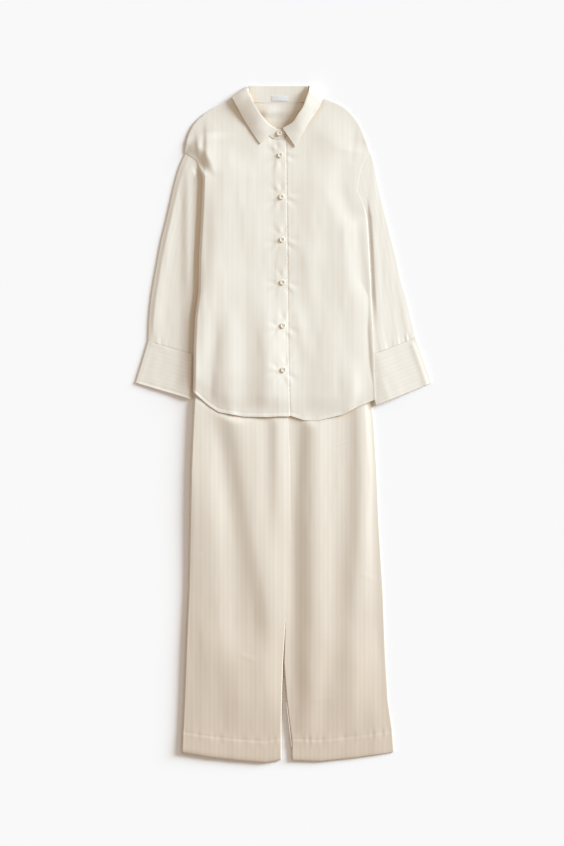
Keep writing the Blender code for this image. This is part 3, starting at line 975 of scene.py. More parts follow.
@dataclass
class Trousers:
    """Wide trousers: two leg fronts on two leg backs, and an elastic waistband."""

    satin: bpy.types.Material
    thread: bpy.types.Material
    edges: tuple[Span, ...] = table(
        Span,
        (229, -152, 150), (201, -153, 151), (174, -160, 156), (143, -166, 160), (108, -179, 173),
        (70, -192, 188), (50, -197, 194), (9, -199, 199), (-103, -204, 206), (-211, -206, 210),
        (-365, -209, 219), (-497, -215, 224), (-607, -219, 230), (-670, -222, 239),
        (-745, -226, 245),
    )
    inner_joined: tuple[Reach, ...] = table(
        Reach,
        (229, 9), (18, 10), (-26, 12), (-103, 15), (-240, 16), (-332, 12), (-436, 4),
    )
    inner_right: tuple[Reach, ...] = table(
        Reach,
        (-526, -1), (-576, -3), (-669, -5), (-745, -5),
    )
    inner_left: tuple[Reach, ...] = table(
        Reach,
        (-526, 1), (-607, 7), (-700, 18), (-745, 19),
    )
    hem_right: tuple[Hem, ...] = table(
        Hem,
        (-226, -722), (-166, -732), (-105, -739), (-43, -744), (-5, -738),
    )
    hem_left: tuple[Hem, ...] = table(
        Hem,
        (19, -739), (80, -741), (157, -733), (243, -721),
    )
    folds: tuple[Fold, ...] = table(
        Fold,
        (-122, 120, 0, -560, -8, 38, 5.0, 0.2, 0.12, 0.4),
        (-14, 120, -8, -330, 0, 26, 3.4, 0.3, 0.12, 0.6),
        (18, 120, 20, -700, 6, 26, -3.4, 0.1, 0.12, 0.4),
        (62, 120, 66, -720, 0, 44, 6.2, 0.0, 0.12, 0.3),
        (176, 120, 128, -640, 14, 30, 4.4, 0.1, 0.12, 0.45),
        (-170, -60, -128, -650, 0, 34, 2.8, -0.1, 0.3, 0.3),
        (-70, -430, -92, -700, 0, 60, 4.6, -0.1, 0.4, 0.4),
        (-40, -300, -24, -690, -4, 26, 1.8, 0.0, 0.4, 0.3),
        (-136, 40, -92, -320, -4, 40, -3.2, 0.3, 0.3, 0.6),
        (165, -420, 134, -700, 0, 42, 4.2, 0.0, 0.4, 0.4),
        (70, -480, 50, -730, 0, 26, 2.0, 0.0, 0.4, 0.3),
        (44, 120, 32, -180, 0, 14, -1.0, 0.0, 0.12, 0.5),
        (-60, 120, -46, -260, 0, 16, 0.6, 0.0, 0.12, 0.5),
        (128, 120, 118, -300, 0, 18, 0.6, 0.0, 0.12, 0.5),
        (-178, -380, -186, -720, 6, 22, 1.2, 0.0, 0.3, 0.3),
    )
    covered: tuple[Hem, ...] = table(
        Hem,
        (-205, 79), (-164, 49), (-142, 35), (-88, 25), (-34, 24), (14, 26), (45, 17), (75, 16),
        (132, 30), (162, 46), (205, 63),
    )
    creases: tuple[Crease, ...] = table(
        Crease,
        (108, -54, 156, -39, 1.6, -0.35), (112, -50, 150, -38, 2.5, 0.2),
        (-100, -505, -60, -520, 5.0, 0.3), (60, -610, 110, -600, 6.0, 0.25),
        (-206, -300, -180, -285, 4.0, 0.25), (170, -330, 205, -345, 5.0, 0.25),
    )
    top: float = 200.7
    low: float = -722.0
    split_top: float = -436.0
    seam: float = 0.03
    lift_left: float = 6.2
    lift_right: float = 1.7
    bluff: float = 3.0
    inner_bluff: float = 1.3
    flank: float = 44.0
    hem_depth: float = 46.0
    most_hidden: float = 5.4
    most_free: float = 15.0
    freed_run: float = 50.0
    near_run: float = 70.0
    part_run: float = 110.0
    hem_run: float = 60.0
    fold_at_hem: float = 0.35
    hip_lift: float = 1.2
    seam_dip: float = 0.15
    band_top: float = 229.0
    band_tall: float = 28.0
    band_half: float = 2.8

    def inner(self, leg: Worn) -> tuple[Reach, ...]:
        """The inner edge of a leg, shared down to where the legs part."""
        return self.inner_joined + leg.pick(self.inner_right, self.inner_left)

    def hem(self, leg: Worn, x: Field) -> Field:
        """The hem's level at x."""
        return along(leg.pick(self.hem_right, self.hem_left), "x", "y", x)

    def outline(self) -> list[tuple[float, float]]:
        """The closed outline of both legs."""
        left = [(edge.left, edge.y) for edge in self.edges]
        return left + [(edge.right, edge.y) for edge in reversed(self.edges)]

    def spot(self, leg: Worn, across: Field, down: Field, inset: float) -> tuple[Field, Field]:
        """Places a leg's grid.

        Args:
            leg: Which leg.
            across: From the picture's left side to its right one, 0 to 1.
            down: From the waist to the hem, 0 to 1.
            inset: How far the outer edge and the hem are kept in.

        Returns:
            x and y.
        """
        level = self.top + (self.low - self.top) * down
        inside = along(self.inner(leg), "y", "x", level) + leg.value * self.seam
        if leg is Worn.RIGHT:
            left, right = along(self.edges, "y", "left", level) + inset, inside
        else:
            left, right = inside, along(self.edges, "y", "right", level) - inset
        x = left + (right - left) * spread(across)
        hem_drop = self.hem(leg, x) - self.low + inset
        return x, level + hem_drop * smooth((down - 0.6) / 0.4)

    def front_under(self, leg: Worn, x: Field, y: Field) -> Field:
        """The underside of a leg's front.

        Args:
            leg: Which leg.
            x: Where, along X.
            y: Where, along Y.

        Returns:
            Its height.
        """
        side = leg.pick("left", "right")
        from_side = np.abs(along(self.edges, "y", side, y) - x)
        from_inner = np.abs(along(self.inner(leg), "y", "x", y) - x)
        from_hem = np.maximum(y - self.hem(leg, x), 0.0)
        shown = smooth((along(self.covered, "x", "y", x) + 1 - y) / self.freed_run)
        parted = smooth((self.split_top + 20 - y) / self.part_run)
        left, right = along(self.edges, "y", "left", y), along(self.edges, "y", "right", y)
        steep = leg is Worn.RIGHT
        inner_round = 1 - parted * (1 - quarter_round(from_inner / self.inner_bluff))
        near = smooth((along(self.covered, "x", "y", x) + 35 - y) / self.near_run)
        fade = 12.0 if steep else 30 - 10 * smooth((y + 250) / 150)
        folds = relief(self.folds, x, y) * (0.5 + 0.5 * near) * smooth(from_side / fade)
        at_hem = self.fold_at_hem
        folds *= inner_round * (at_hem + (1 - at_hem) * smooth(from_hem / self.hem_run))
        lift = self.lift_right + (self.lift_left - self.lift_right) * (right - x) / (right - left)
        if steep:
            lift += self.hip_lift * smooth((y + 350) / 200) * (right - x) / (right - left)
        lift = lift * (0.62 + 0.38 * quarter_round(from_hem / 12)) + folds
        lift += (0.25 * ripple(x, y, 26, 190, 3) + 0.1 * ripple(x, y, 11, 60, 4)) * shown
        lift += pressed(self.creases, x, y) + self.hem_detail(x, from_hem)
        lift -= self.seam_dip * bell(from_inner, 1.6) * smooth((y + 260) / 60)
        most = self.most_hidden + (self.most_free - self.most_hidden) * shown
        lift = np.maximum(most - np.logaddexp(0.0, 1.5 * (most - lift)) / 1.5, -0.6)
        closed = WALL + CLOSE
        rise = quarter_round(from_side / self.bluff)
        if not steep:
            rise = 0.65 * rise + 0.35 * smooth(from_side / self.flank)
        body = closed + (LAYER - closed + lift) * rise
        return closed + (body - closed) * inner_round

    def hem_detail(self, x: Field, from_hem: Field) -> Field:
        """The turned-up hem: a double layer below its stitches, and puckers along them.

        Args:
            x: Where, along X.
            from_hem: How far above the hem.

        Returns:
            What it adds to the height.
        """
        band = 0.4 * smooth((self.hem_depth - from_hem) / 2.0)
        pucker = 0.5 * ripple(x, x * 0, 7, 50, 9) * bell(from_hem - self.hem_depth, 10)
        return band + pucker - 0.35 * bell(from_hem - self.hem_depth, 1.6)

    def place_front(self, leg: Worn, across: Field, down: Field) -> Placed:
        """Places the grid of a leg's front."""
        x, y = self.spot(leg, across, down, 0.0)
        return x, y, self.front_under(leg, x, y), x, y

    def place_back(self, leg: Worn, across: Field, down: Field) -> Placed:
        """Places the grid of a leg's back, flat on the surface and a little inside the front."""
        x, y = self.spot(leg, across, down, 0.5)
        return x, y, np.zeros_like(x), x, y

    def place_band(self, across: Field, down: Field) -> Placed:
        """Places the waistband: a flat elastic tube with small gathers.

        Args:
            across: Once round it, 0 to 1.
            down: From its upper edge to its lower one, 0 to 1.

        Returns:
            x, y and z, and the place in the cut cloth.
        """
        over, share = round_tube(across)
        left, right = self.edges[0].left, self.edges[0].right
        x = left + (right - left) * share
        y = self.band_top - self.band_tall * down
        from_side = np.minimum(share, 1 - share)
        rise = self.band_half * quarter_round(from_side * (right - left) / self.band_half)
        gather = 0.35 * np.sin(x / 2.1) * smooth(from_side * 12)
        return x, y, self.band_half + np.where(over, rise - 0.4 + gather, -rise), x, y

    def build(self) -> list[bpy.types.Object]:
        """Builds the trousers.

        Returns:
            The pieces.
        """
        pieces = []
        slot = "trouser_satin"
        for leg in Worn:
            front = Cloth(
                f"trouser_front_{leg.word}", 84, 330, partial(self.place_front, leg),
                self.satin, slot,
            ).build()
            back = Cloth(
                f"trouser_back_{leg.word}", 30, 110, partial(self.place_back, leg),
                self.satin, slot,
            ).build()
            pieces += [front, back]
        band = Cloth(
            "waistband", 240, 10, self.place_band, self.satin, slot,
            offset=-1.0, tube=True, rim=0.01,
        ).build()
        self.sew()
        return pieces + [band]

    def sew(self) -> None:
        """Sews the hems."""
        rows = Stitching("trouser_stitches", self.thread, "trouser_satin")
        for leg in Worn:
            hem = leg.pick(self.hem_right, self.hem_left)
            x = np.linspace(hem[0].x + 3, hem[-1].x - 3, 60)
            path = list(zip(x, self.hem(leg, x) + self.hem_depth))
            rows.row(path, lambda a, b, leg=leg: self.front_under(leg, a, b) + WALL)
        rows.finish_piece()


@dataclass(frozen=True)
class Body:
    """The outline of the shirt's body: its shoulders, armhole seams and folded sides."""

    right: tuple[Reach, ...] = table(
        Reach,
        (719, -100), (708, -127), (695, -153), (682, -174), (669, -189), (656, -200), (640, -208),
        (625, -213), (607, -216), (595, -217), (587, -205), (579, -193), (568, -188), (556, -183),
        (542, -178), (530, -178), (477, -180), (365, -186), (290, -187), (235, -194), (163, -197),
        (60, -198), (-300, -198),
    )
    left: tuple[Reach, ...] = table(
        Reach,
        (719, 87), (712, 105), (704, 124), (695, 138), (686, 148), (678, 155), (669, 162),
        (660, 168), (647, 174), (625, 182), (605, 189), (594, 193), (572, 177), (541, 169),
        (515, 165), (493, 175), (453, 184), (365, 189), (235, 195), (45, 202), (-300, 202),
    )
    seam_right: tuple[Hem, ...] = table(
        Hem,
        (-222, 598), (-205, 587), (-193, 579),
    )
    seam_left: tuple[Hem, ...] = table(
        Hem,
        (197, 598), (177, 572), (169, 541), (165, 515), (172, 498),
    )

    def edge(self, side: Worn, y: Field) -> Field:
        """The body's outer edge at a level."""
        return along(side.pick(self.right, self.left), "y", "x", y)

    def depth(self, x: Field, y: Field) -> Field:
        """How far inside the body's outline a point is, its hem left open."""
        outline = [(row.x, row.y) for row in self.right]
        return depth_inside(outline + [(row.x, row.y) for row in reversed(self.left)], x, y)

    def from_seam(self, x: Field, y: Field) -> Field:
        """How far a point is from the nearer armhole seam."""
        return np.minimum(away_from(self.seam_right, x, y), away_from(self.seam_left, x, y))

    def by_seam(self, x: Field, y: Field, reach: float = 34.0) -> Field:
        """1 where an armhole seam is the nearest part of the outline, 0 that much further on."""
        return smooth(1 - (self.from_seam(x, y) - np.abs(self.depth(x, y))) / reach)


@dataclass
class Sleeves:
    """Two flattened sleeves with deep turned cuffs, pressed flat beside and under the body."""

    body: Body
    satin: bpy.types.Material
    cuff_satin: bpy.types.Material
    thread: bpy.types.Material
    right: tuple[Section, ...] = table(
        Section,
        (-211, 607, -107, 426, 41), (-218, 592, -113, 414, 37), (-230, 563, -116, 392, 27),
        (-240, 528, -121, 370, 18), (-249, 488, -127, 345, 11), (-259, 444, -133, 319, 6),
        (-270, 400, -140, 293, 3), (-278, 356, -146, 266, 0), (-286, 312, -154, 239, 0),
        (-292, 273, -161, 211, 0), (-296, 233, -167, 185, 0), (-297, 207, -172, 165, 0),
        (-298, 183, -175, 147, 0),
    )
    left: tuple[Section, ...] = table(
        Section,
        (184, 612, 118, 420, 4), (194, 591, 124, 406, 4), (200, 568, 129, 388, 4),
        (206, 537, 132, 367, 3), (215, 497, 136, 341, 2), (226, 453, 142, 315, 0),
        (237, 409, 147, 288, 0), (248, 365, 153, 262, 0), (258, 319, 157, 235, 0),
        (271, 275, 162, 209, 0), (280, 235, 165, 183, 0), (287, 209, 166, 161, 0),
        (291, 190, 167, 141, 0),
    )
    cuff_right: tuple[Section, ...] = table(
        Section,
        (-298.1, 182.8, -175.0, 146.8, 0), (-312, 136, -188, 100, 0), (-326, 91, -201.5, 54, 0),
    )
    cuff_left: tuple[Section, ...] = table(
        Section,
        (291.1, 189.7, 167.1, 140.7, 0), (309, 140, 185, 89, 0), (326, 91, 201, 40, 0),
    )
    folds: tuple[Fold, ...] = table(
        Fold,
        (-227, 585, -296, 170, 0, 14, 0.9, 0.0, 0.15, 0.2),
        (-210, 575, -213, 250, 0, 9, 1.0, 0.0, 0.2, 0.3),
        (197, 580, 216, 110, -2, 12, 0.5, -0.2, 0.2, 0.2),
        (226, 420, 252, 150, 0, 9, 0.35, -0.2, 0.3, 0.2),
        (246, 380, 284, 150, 0, 12, 0.3, 0.0, 0.4, 0.2),
    )
    rim_height: float = 2.2
    lean_right: float = 0.13
    lean_left: float = 0.06
    highest_right: float = 3.5
    highest_left: float = 6.2
    pressed: float = 1.75
    cuff_pressed: float = 2.4
    cuff_wall: float = 1.0
    seam_run: float = 40.0
    seam_run_left: float = 64.0
    tuck: float = 26.0
    step_right: float = 1.3
    rise_left: float = 2.0
    sink: float = 2.3
    seam_dip: float = 0.12

    def sections(self, side: Worn) -> tuple[Section, ...]:
        """The sections of one sleeve."""
        return side.pick(self.right, self.left)

    def cuff(self, side: Worn) -> tuple[Section, ...]:
        """The sections of one cuff."""
        return side.pick(self.cuff_right, self.cuff_left)

    def outline(self, side: Worn) -> list[tuple[float, float]]:
        """Goes round a sleeve with its cuff.

        Args:
            side: Which sleeve.

        Returns:
            The closed outline's points.
        """
        rows = list(self.sections(side)) + list(self.cuff(side))
        top = np.array([rows[0]] * 7, float)
        mouth = self.across_section(top, np.arange(1, 8) / 8)
        outer = [(row.out_x, row.out_y) for row in reversed(rows)]
        return outer + list(zip(*mouth)) + [(row.in_x, row.in_y) for row in rows]

    def across_section(self, rows: Field, share: Field) -> tuple[Field, Field]:
        """Points across sections.

        Args:
            rows: One section per point.
            share: From the outer end, 0, to the inner one, 1.

        Returns:
            x and y.
        """
        run_x, run_y = rows[:, 2] - rows[:, 0], rows[:, 3] - rows[:, 1]
        bow = rows[:, 4] * 4 * share * (1 - share) / np.hypot(run_x, run_y) * np.sign(run_x)
        return rows[:, 0] + run_x * share - run_y * bow, rows[:, 1] + run_y * share + run_x * bow

    def place_tube(self, side: Worn, is_cuff: bool, across: Field, down: Field) -> Placed:
        """Places a sleeve's or a cuff's grid.

        Args:
            side: Which sleeve.
            is_cuff: Whether the cuff is meant, whose stripes run round it.
            across: Once round it, 0 to 1.
            down: From the shoulder to the hand, 0 to 1.

        Returns:
            x, y and z, and the place in the cut cloth.
        """
        lines = self.cuff(side) if is_cuff else self.sections(side)
        grain = Grain.ACROSS if is_cuff else Grain.ALONG
        length = math.hypot(lines[-1].out_x - lines[0].out_x, lines[-1].out_y - lines[0].out_y)
        over, share = round_tube(across)
        rows = flowing(lines, down * (len(lines) - 1))
        x, y = self.across_section(rows, share)
        width = np.hypot(rows[:, 2] - rows[:, 0], rows[:, 3] - rows[:, 1])
        from_end = np.minimum(share, 1 - share) * width
        shape = self.cuff_top if is_cuff else self.sleeve_top
        top, slack = shape(side, x, y, share, down)
        round_ = quarter_round(from_end / (top / 2))
        high = top / 2 * (1 + round_) + slack * smooth(from_end / 14)
        walls = 2.2 * (self.cuff_wall if is_cuff else WALL)
        low = top / 2 * (1 - round_)
        z = np.where(over, np.maximum(high, low + walls * round_), low)
        turned = np.where(over, share, 2 - share) * width
        if grain is Grain.ACROSS:
            return x, y, z, down * length, turned
        return x, y, z, turned, down * length

    def build(self) -> list[bpy.types.Object]:
        """Builds both sleeves.

        Returns:
            The pieces.
        """
        rows = Stitching("sleeve_stitches", self.thread, "shirt_satin")
        pieces = []
        for side in Worn:
            sleeve = Cloth(
                f"sleeve_{side.word}", 200, 150, partial(self.place_tube, side, False),
                self.satin, "shirt_satin", offset=-1.0, tube=True,
            ).build()
            cuff = Cloth(
                f"cuff_{side.word}", 130, 40, partial(self.place_tube, side, True),
                self.cuff_satin, "shirt_satin", self.cuff_wall, -1.0, True, 0.003,
            ).build()
            area = side.pick(0.115, 0.084)
            pieces += [sleeve, cuff]
            self.sew(rows, side)
        rows.finish_piece()
        return pieces

    def sleeve_top(
        self, side: Worn, x: Field, y: Field, share: Field, down: Field
    ) -> tuple[Field, Field]:
        """A sleeve's height and the slack on it.

        Args:
            side: Which sleeve.
            x: Where, along X.
            y: Where, along Y.
            share: How far round its upper side.
            down: How far down the arm.

        Returns:
            The flattened tube's height, and what its folds add.
        """
        beside = -self.body.depth(x, y)
        at_seam = self.body.by_seam(x, y, 24.0) * smooth((beside + 2) / 2)
        open_ = np.maximum(self.opening(side, beside), at_seam)
        low, high = self.tucked(side, x, y), self.level(side, x, y)
        top = np.maximum(low + (high - low) * open_, self.seam_height(x, y))
        shown = smooth((beside - 4) / 8)
        slack = relief(self.folds, x, y) * shown
        slack += 0.22 * ripple(x, y, 17, 120, 21) * shown + 0.12 * ripple(x, y, 8, 40, 22) * shown
        gather = 0.35 * ripple(share * 26, share * 0, 1, 1, 23 + side.value)
        return top, slack + gather * smooth((down - 0.9) / 0.08) * shown

    def opening(self, side: Worn, beside: Field) -> Field:
        """How far a sleeve has come up beside the body, 0 to 1."""
        return smooth((beside - 4) / 10) if side is Worn.RIGHT else smooth((beside - 1) / 10)

    def tucked(self, side: Worn, x: Field, y: Field) -> Field:
        """How high a sleeve lies under the body's edge: flat, or leaning on it lower down.

        Args:
            side: Which sleeve.
            x: Where, along X.
            y: Where, along Y.

        Returns:
            Its height.
        """
        flat = np.full_like(x, self.pressed)
        if side is Worn.RIGHT:
            return flat
        depth = np.maximum(self.body.depth(x, y), 0.0)
        edge = self.level(side, x, y) + 0.1 - self.sink * smooth((y - 200) / 90)
        return flat + (np.maximum(edge, flat) - flat) * smooth(1 - depth / self.tuck)

    def level(self, side: Worn, x: Field, y: Field) -> Field:
        """How high a flattened sleeve lies, rising from its outer edge.

        Args:
            side: Which sleeve.
            x: Where, along X.
            y: Where, along Y.

        Returns:
            Its height.
        """
        rows = (*self.sections(side), *self.cuff(side))
        inside = away_from([(row.out_x, row.out_y) for row in rows], x, y)
        if side is Worn.RIGHT:
            step = self.step_right * smooth((x + 230) / 24) * smooth((590 - y) / 40)
            return np.minimum(self.rim_height + self.lean_right * inside, self.highest_right) + step
        highest = self.highest_left + self.rise_left * smooth((290 - y) / 60)
        return np.minimum(self.rim_height + self.lean_left * inside, highest)

    def seam_height(self, x: Field, y: Field) -> Field:
        """How high a sleeve's top lies at its seam, where the front lies level on it.

        Args:
            x: Where, along X.
            y: Where, along Y.

        Returns:
            Its height.
        """
        away = self.body.from_seam(x, y)
        level = np.where(x < 0, self.level(Worn.RIGHT, x, y), self.level(Worn.LEFT, x, y))
        run = np.where(x < 0, self.seam_run, self.seam_run_left)
        high = self.pressed + (level - self.pressed) * smooth(1 - (away - 2) / run)
        return np.maximum(high - self.seam_dip * bell(away, 2.0), self.pressed)

    def cuff_top(
        self, side: Worn, x: Field, y: Field, share: Field, down: Field
    ) -> tuple[Field, Field]:
        """A cuff's height and the slack on it: a soft slanting ridge and a firm hem.

        Args:
            side: Which cuff.
            x: Where, along X.
            y: Where, along Y.
            share: How far round its upper side.
            down: How far down it.

        Returns:
            The flattened tube's height, and what its shape adds.
        """
        beside = -self.body.depth(x, y)
        open_ = smooth((beside - 1) / 7) if side is Worn.RIGHT else self.opening(side, beside)
        low = np.maximum(self.tucked(side, x, y), self.cuff_pressed)
        top = low + (self.level(side, x, y) + 0.3 - low) * open_
        if side is Worn.RIGHT:
            slack = 1.3 * smooth((share - 0.58) / 0.26) - 0.9 * (1 - smooth(share / 0.4))
        else:
            slack = 1.0 * bell(share - 0.08, 0.06) + 0.3 * bell(share - 0.62 - 0.1 * down, 0.16)
        slack += 0.18 * ripple(share * 9, down * 3, 1, 1, 31 + side.value)
        hem = 0.35 * smooth((down - 0.95) / 0.02) - 0.3 * bell(down - 0.945, 0.012)
        joint = -0.5 * (1 - smooth(down / 0.05))
        return top, (slack * smooth(down * 8) + hem + joint) * open_

    def sew(self, rows: Stitching, side: Worn) -> None:
        """Sews a cuff on and stitches its hem.

        Args:
            rows: The stitching to add to.
            side: Which cuff.
        """
        share = np.linspace(0.03, 0.97, 50)
        across = np.arccos(1 - 2 * share) / math.pi / 2
        for down in (0.035, 0.945):
            x, y, z, _, _ = self.place_tube(side, True, across, np.full_like(across, down))
            order = np.argsort(x)
            rows.row(list(zip(x, y)), lambda a, b, x=x[order], z=z[order]: np.interp(a, x, z))


@dataclass
class Shirt:
    """The shirt's body: a back, two fronts and the placket down the right one."""

    satin: bpy.types.Material
    thread: bpy.types.Material
    trousers: Trousers
    sleeves: Sleeves
    body: Body
    placket_edge: tuple[Reach, ...] = table(
        Reach,
        (625, 5), (493, 7), (119, 11), (14, 14),
    )
    hem_right: tuple[Hem, ...] = table(
        Hem,
        (-198, 70), (-164, 40), (-142, 26), (-88, 16), (-34, 15), (14, 18),
    )
    hem_left: tuple[Hem, ...] = table(
        Hem,
        (-20, 23), (15, 18), (45, 8), (75, 7), (132, 21), (162, 37), (202, 54),
    )
    armhole_right: tuple[Reach, ...] = table(
        Reach,
        (600, -212), (590, -200), (578, -184), (566, -166), (548, -148), (520, -126), (470, -108),
        (425, -102), (380, -104), (358, -150), (336, -182),
    )
    armhole_left: tuple[Reach, ...] = table(
        Reach,
        (600, 186), (580, 180), (550, 166), (515, 154), (470, 138), (425, 118), (380, 118),
        (358, 150), (336, 184),
    )
    neck_right: tuple[Hem, ...] = table(
        Hem,
        (-22, 627.5), (-37, 637.6), (-50, 648), (-62, 661), (-72, 675), (-80, 691), (-86, 704),
    )
    neck_left: tuple[Hem, ...] = table(
        Hem,
        (64, 704), (58, 691), (49, 675), (38, 661), (26, 648), (13, 636.6), (-17, 621),
    )
    collar_back: tuple[tuple[float, float], ...] = (
        (-112, 717), (-78, 744), (56, 744), (86, 718), (54, 704), (20, 697), (-44, 697), (-78, 704),
    )
    collar_front: tuple[tuple[float, float], ...] = (
        (-113, 718), (-94, 682), (-75, 650), (-51, 615), (-16, 645), (0, 645), (26, 609),
        (56, 662), (88, 719),
    )
    folds: tuple[Fold, ...] = table(
        Fold,
        (-124, 310, -120, -20, 4, 24, 1.8, 0.0, 0.5, 0.12),
        (-38, 330, -30, -20, 0, 34, 4.2, 0.1, 0.5, 0.12),
        (-146, 260, -168, 20, 0, 20, -1.8, -0.35, 0.4, 0.12),
        (50, 420, 60, 240, 0, 20, 1.2, 0.2, 0.4, 0.4),
        (18, 280, 60, 120, 0, 14, 0.8, 0.0, 0.4, 0.4),
        (98, 280, 102, 0, 0, 34, 1.8, 0.0, 0.4, 0.15),
        (148, 160, 156, -20, 0, 26, 2.6, 0.0, 0.5, 0.15),
        (-171, 686, -173, 540, 3, 16, 2.6, 0.72, 0.3, 0.15),
        (-193, 662, -186, 578, 0, 9, 1.6, 0.6, 0.3, 0.1),
        (159, 668, 152, 566, 0, 6.5, -0.9, -0.4, 0.3, 0.15),
        (182, 640, 170, 560, 0, 8, -1.2, 0.0, 0.3, 0.2),
        (-154, 640, -150, 430, 0, 22, -0.6, 0.0, 0.4, 0.4),
        (-60, 560, -64, 330, 0, 46, 1.8, 0.0, 0.4, 0.4),
        (90, 600, 96, 380, 0, 36, 0.8, 0.0, 0.4, 0.4),
        (-140, 560, -150, 250, 0, 34, 2.2, 0.3, 0.3, 0.3),
        (60, 620, 60, 300, 0, 50, 1.8, -0.2, 0.3, 0.3),
        (125, 620, 128, 250, 6, 30, 0.6, -0.2, 0.3, 0.3),
        (-165, 420, -180, 100, 0, 14, 0.9, 0.2, 0.4, 0.3),
        (166, 420, 172, 100, 0, 20, 0.7, -0.2, 0.4, 0.3),
    )
    shoulder_top: float = 714.5
    placket_width: float = 30.0
    chest: float = 8.6
    hips: float = 11.2
    tilt: float = 1.2
    puffed: float = 4.4
    under_collar: float = 6.0
    round_right: float = 6.5
    rim: float = 5.0
    under_placket: float = 1.35
    placket_rise: float = 0.15
    placket_wall: float = 1.2
    placket_top_y: float = 627.0
    placket_low_y: float = 16.5
    back_low: float = 82.0
    front_low_right: float = 66.0
    front_low_left: float = 56.0
    gap: float = 0.15
    early: float = 8.0
    flush: float = 0.65
    hem_drop: float = 1.6
    tab_drop: float = 0.7
    pull: float = 0.3
    back_dip: float = 8.9
    neck_y: float = 706.0
    neck_swell: float = 2.6
    hem_depth: float = 7.0
    buttons: tuple[tuple[float, float], ...] = (
        (-9, 639), (-7, 591), (-4, 499), (-3, 405), (-2, 311), (-1, 216), (0, 119),
    )

    def hem(self, side: Worn, x: Field) -> Field:
        """A front's hem at x."""
        return along(side.pick(self.hem_right, self.hem_left), "x", "y", x)

    def ramp(self, depth: Field, run: float, height: float) -> Field:
        """A height reached a little outside an outline, over a run further out."""
        return height * smooth(1 + (depth + self.early) / run)

    def arms(self, x: Field, y: Field) -> Field:
        """How far inside either sleeve's outline a point is."""
        right = depth_inside(self.sleeves.outline(Worn.RIGHT), x, y)
        return np.maximum(right, depth_inside(self.sleeves.outline(Worn.LEFT), x, y))

    def under_back(self, x: Field, y: Field) -> Field:
        """How high the back's underside lies over what is under it.

        Args:
            x: Where, along X.
            y: Where, along Y.

        Returns:
            Its height.
        """
        arm = self.sleeves.pressed + self.gap
        heights = [
            self.ramp(self.arms(x, y), 40.0, arm) * smooth((430 - y) / 24),
            self.ramp(depth_inside(self.trousers.outline(), x, y), 120.0, 6.8)
            + 1.2 * smooth((140 - y) / 60),
            self.ramp(depth_inside(self.collar_back, x, y), 18.0, 2.4),
        ]
        under = sum(height**6 for height in heights) ** (1 / 6)
        sleeve = self.sleeves.tucked(Worn.LEFT, x, y) + self.gap
        on_arm = sleeve * smooth((530 - y) / 120) * smooth(1 + self.arms(x, y) / 6) * (x > 0)
        return np.maximum(under, on_arm)

    def rest(self, x: Field, y: Field) -> Field:
        """The height that a front's underside may not go below; at a seam it is sewn in flush.

        Args:
            x: Where, along X.
            y: Where, along Y.

        Returns:
            That height.
        """
        on_back = self.under_back(x, y) + WALL + CLOSE
        sewn = self.flush * self.body.by_seam(x, y) * (1 - smooth(self.body.depth(x, y) / 3))
        return np.maximum(on_back, self.sleeves.seam_height(x, y) + CLOSE - sewn)

    def full(self, x: Field, y: Field) -> Field:
        """The height that the fronts' undersides keep well inside the body's edges.

        Args:
            x: Where, along X.
            y: Where, along Y.

        Returns:
            That height.
        """
        hips = smooth((420 - y) / 330)
        high = self.chest + (self.hips - self.chest) * hips
        high = high - self.tilt * smooth((x + 160) / 340)
        puffed = smooth((y - 30) / 90) * (1 - smooth((y - 530) / 90))
        high += self.puffed * (1 - smooth((x + 190) / 280)) * puffed
        near = 1 - smooth(-depth_inside(self.collar_front, x, y) / 80)
        return high - (high - self.under_collar - neck_lift(x)) * near

    def base(self, x: Field, y: Field) -> Field:
        """The fronts' and the placket's shared surface, folds and all.

        Args:
            x: Where, along X.
            y: Where, along Y.

        Returns:
            Its height.
        """
        depth = self.body.depth(x, y)
        rise = self.rise(depth, x, y)
        rest = self.rest(x, y)
        shape = relief(self.folds, x, y) + self.tug(x, y)
        shape += 0.3 * ripple(x, y, 30, 150, 41) + 0.15 * ripple(x, y, 12, 45, 42)
        from_hem = np.maximum(y - self.nearer_hem(x), 0.0)
        shape = shape * smooth(depth / 12) * (0.45 + 0.55 * smooth(from_hem / 40))
        high = self.full(x, y) - self.hem_drop * (1 - smooth(from_hem / 46))
        high = high - self.tab_drop * smooth((y - 618) / 8) * smooth((24 - np.abs(x + 10)) / 8)
        return np.maximum(rest + (high + shape - rest) * rise, rest)

    def rise(self, depth: Field, x: Field, y: Field) -> Field:
        """How far the fronts have risen inside their outer edges.

        Args:
            depth: How far inside the outline.
            x: Where, along X.
            y: Where, along Y.

        Returns:
            0 at the edge to 1 well inside it: a bluff on the wearer's right, softer elsewhere.
        """
        to_left = smooth((x + 100) / 200)
        rim = quarter_round(depth / self.rim)
        side = quarter_round(depth / self.round_right) * (1 - to_left)
        side = side + (0.15 * rim + 0.85 * smooth(depth / 56)) * to_left
        share = 0.16 + 0.06 * to_left
        shoulder = share * rim + (1 - share) * smooth(depth / 84)
        risen = side + (shoulder - side) * smooth((y - 545) / 90)
        at_seam = smooth(depth / (30 + 46 * to_left))
        return risen + (at_seam - risen) * self.body.by_seam(x, y)

    def nearer_hem(self, x: Field) -> Field:
        """The upper one of the fronts' hems at x."""
        return np.maximum(self.hem(Worn.RIGHT, x), self.hem(Worn.LEFT, x))

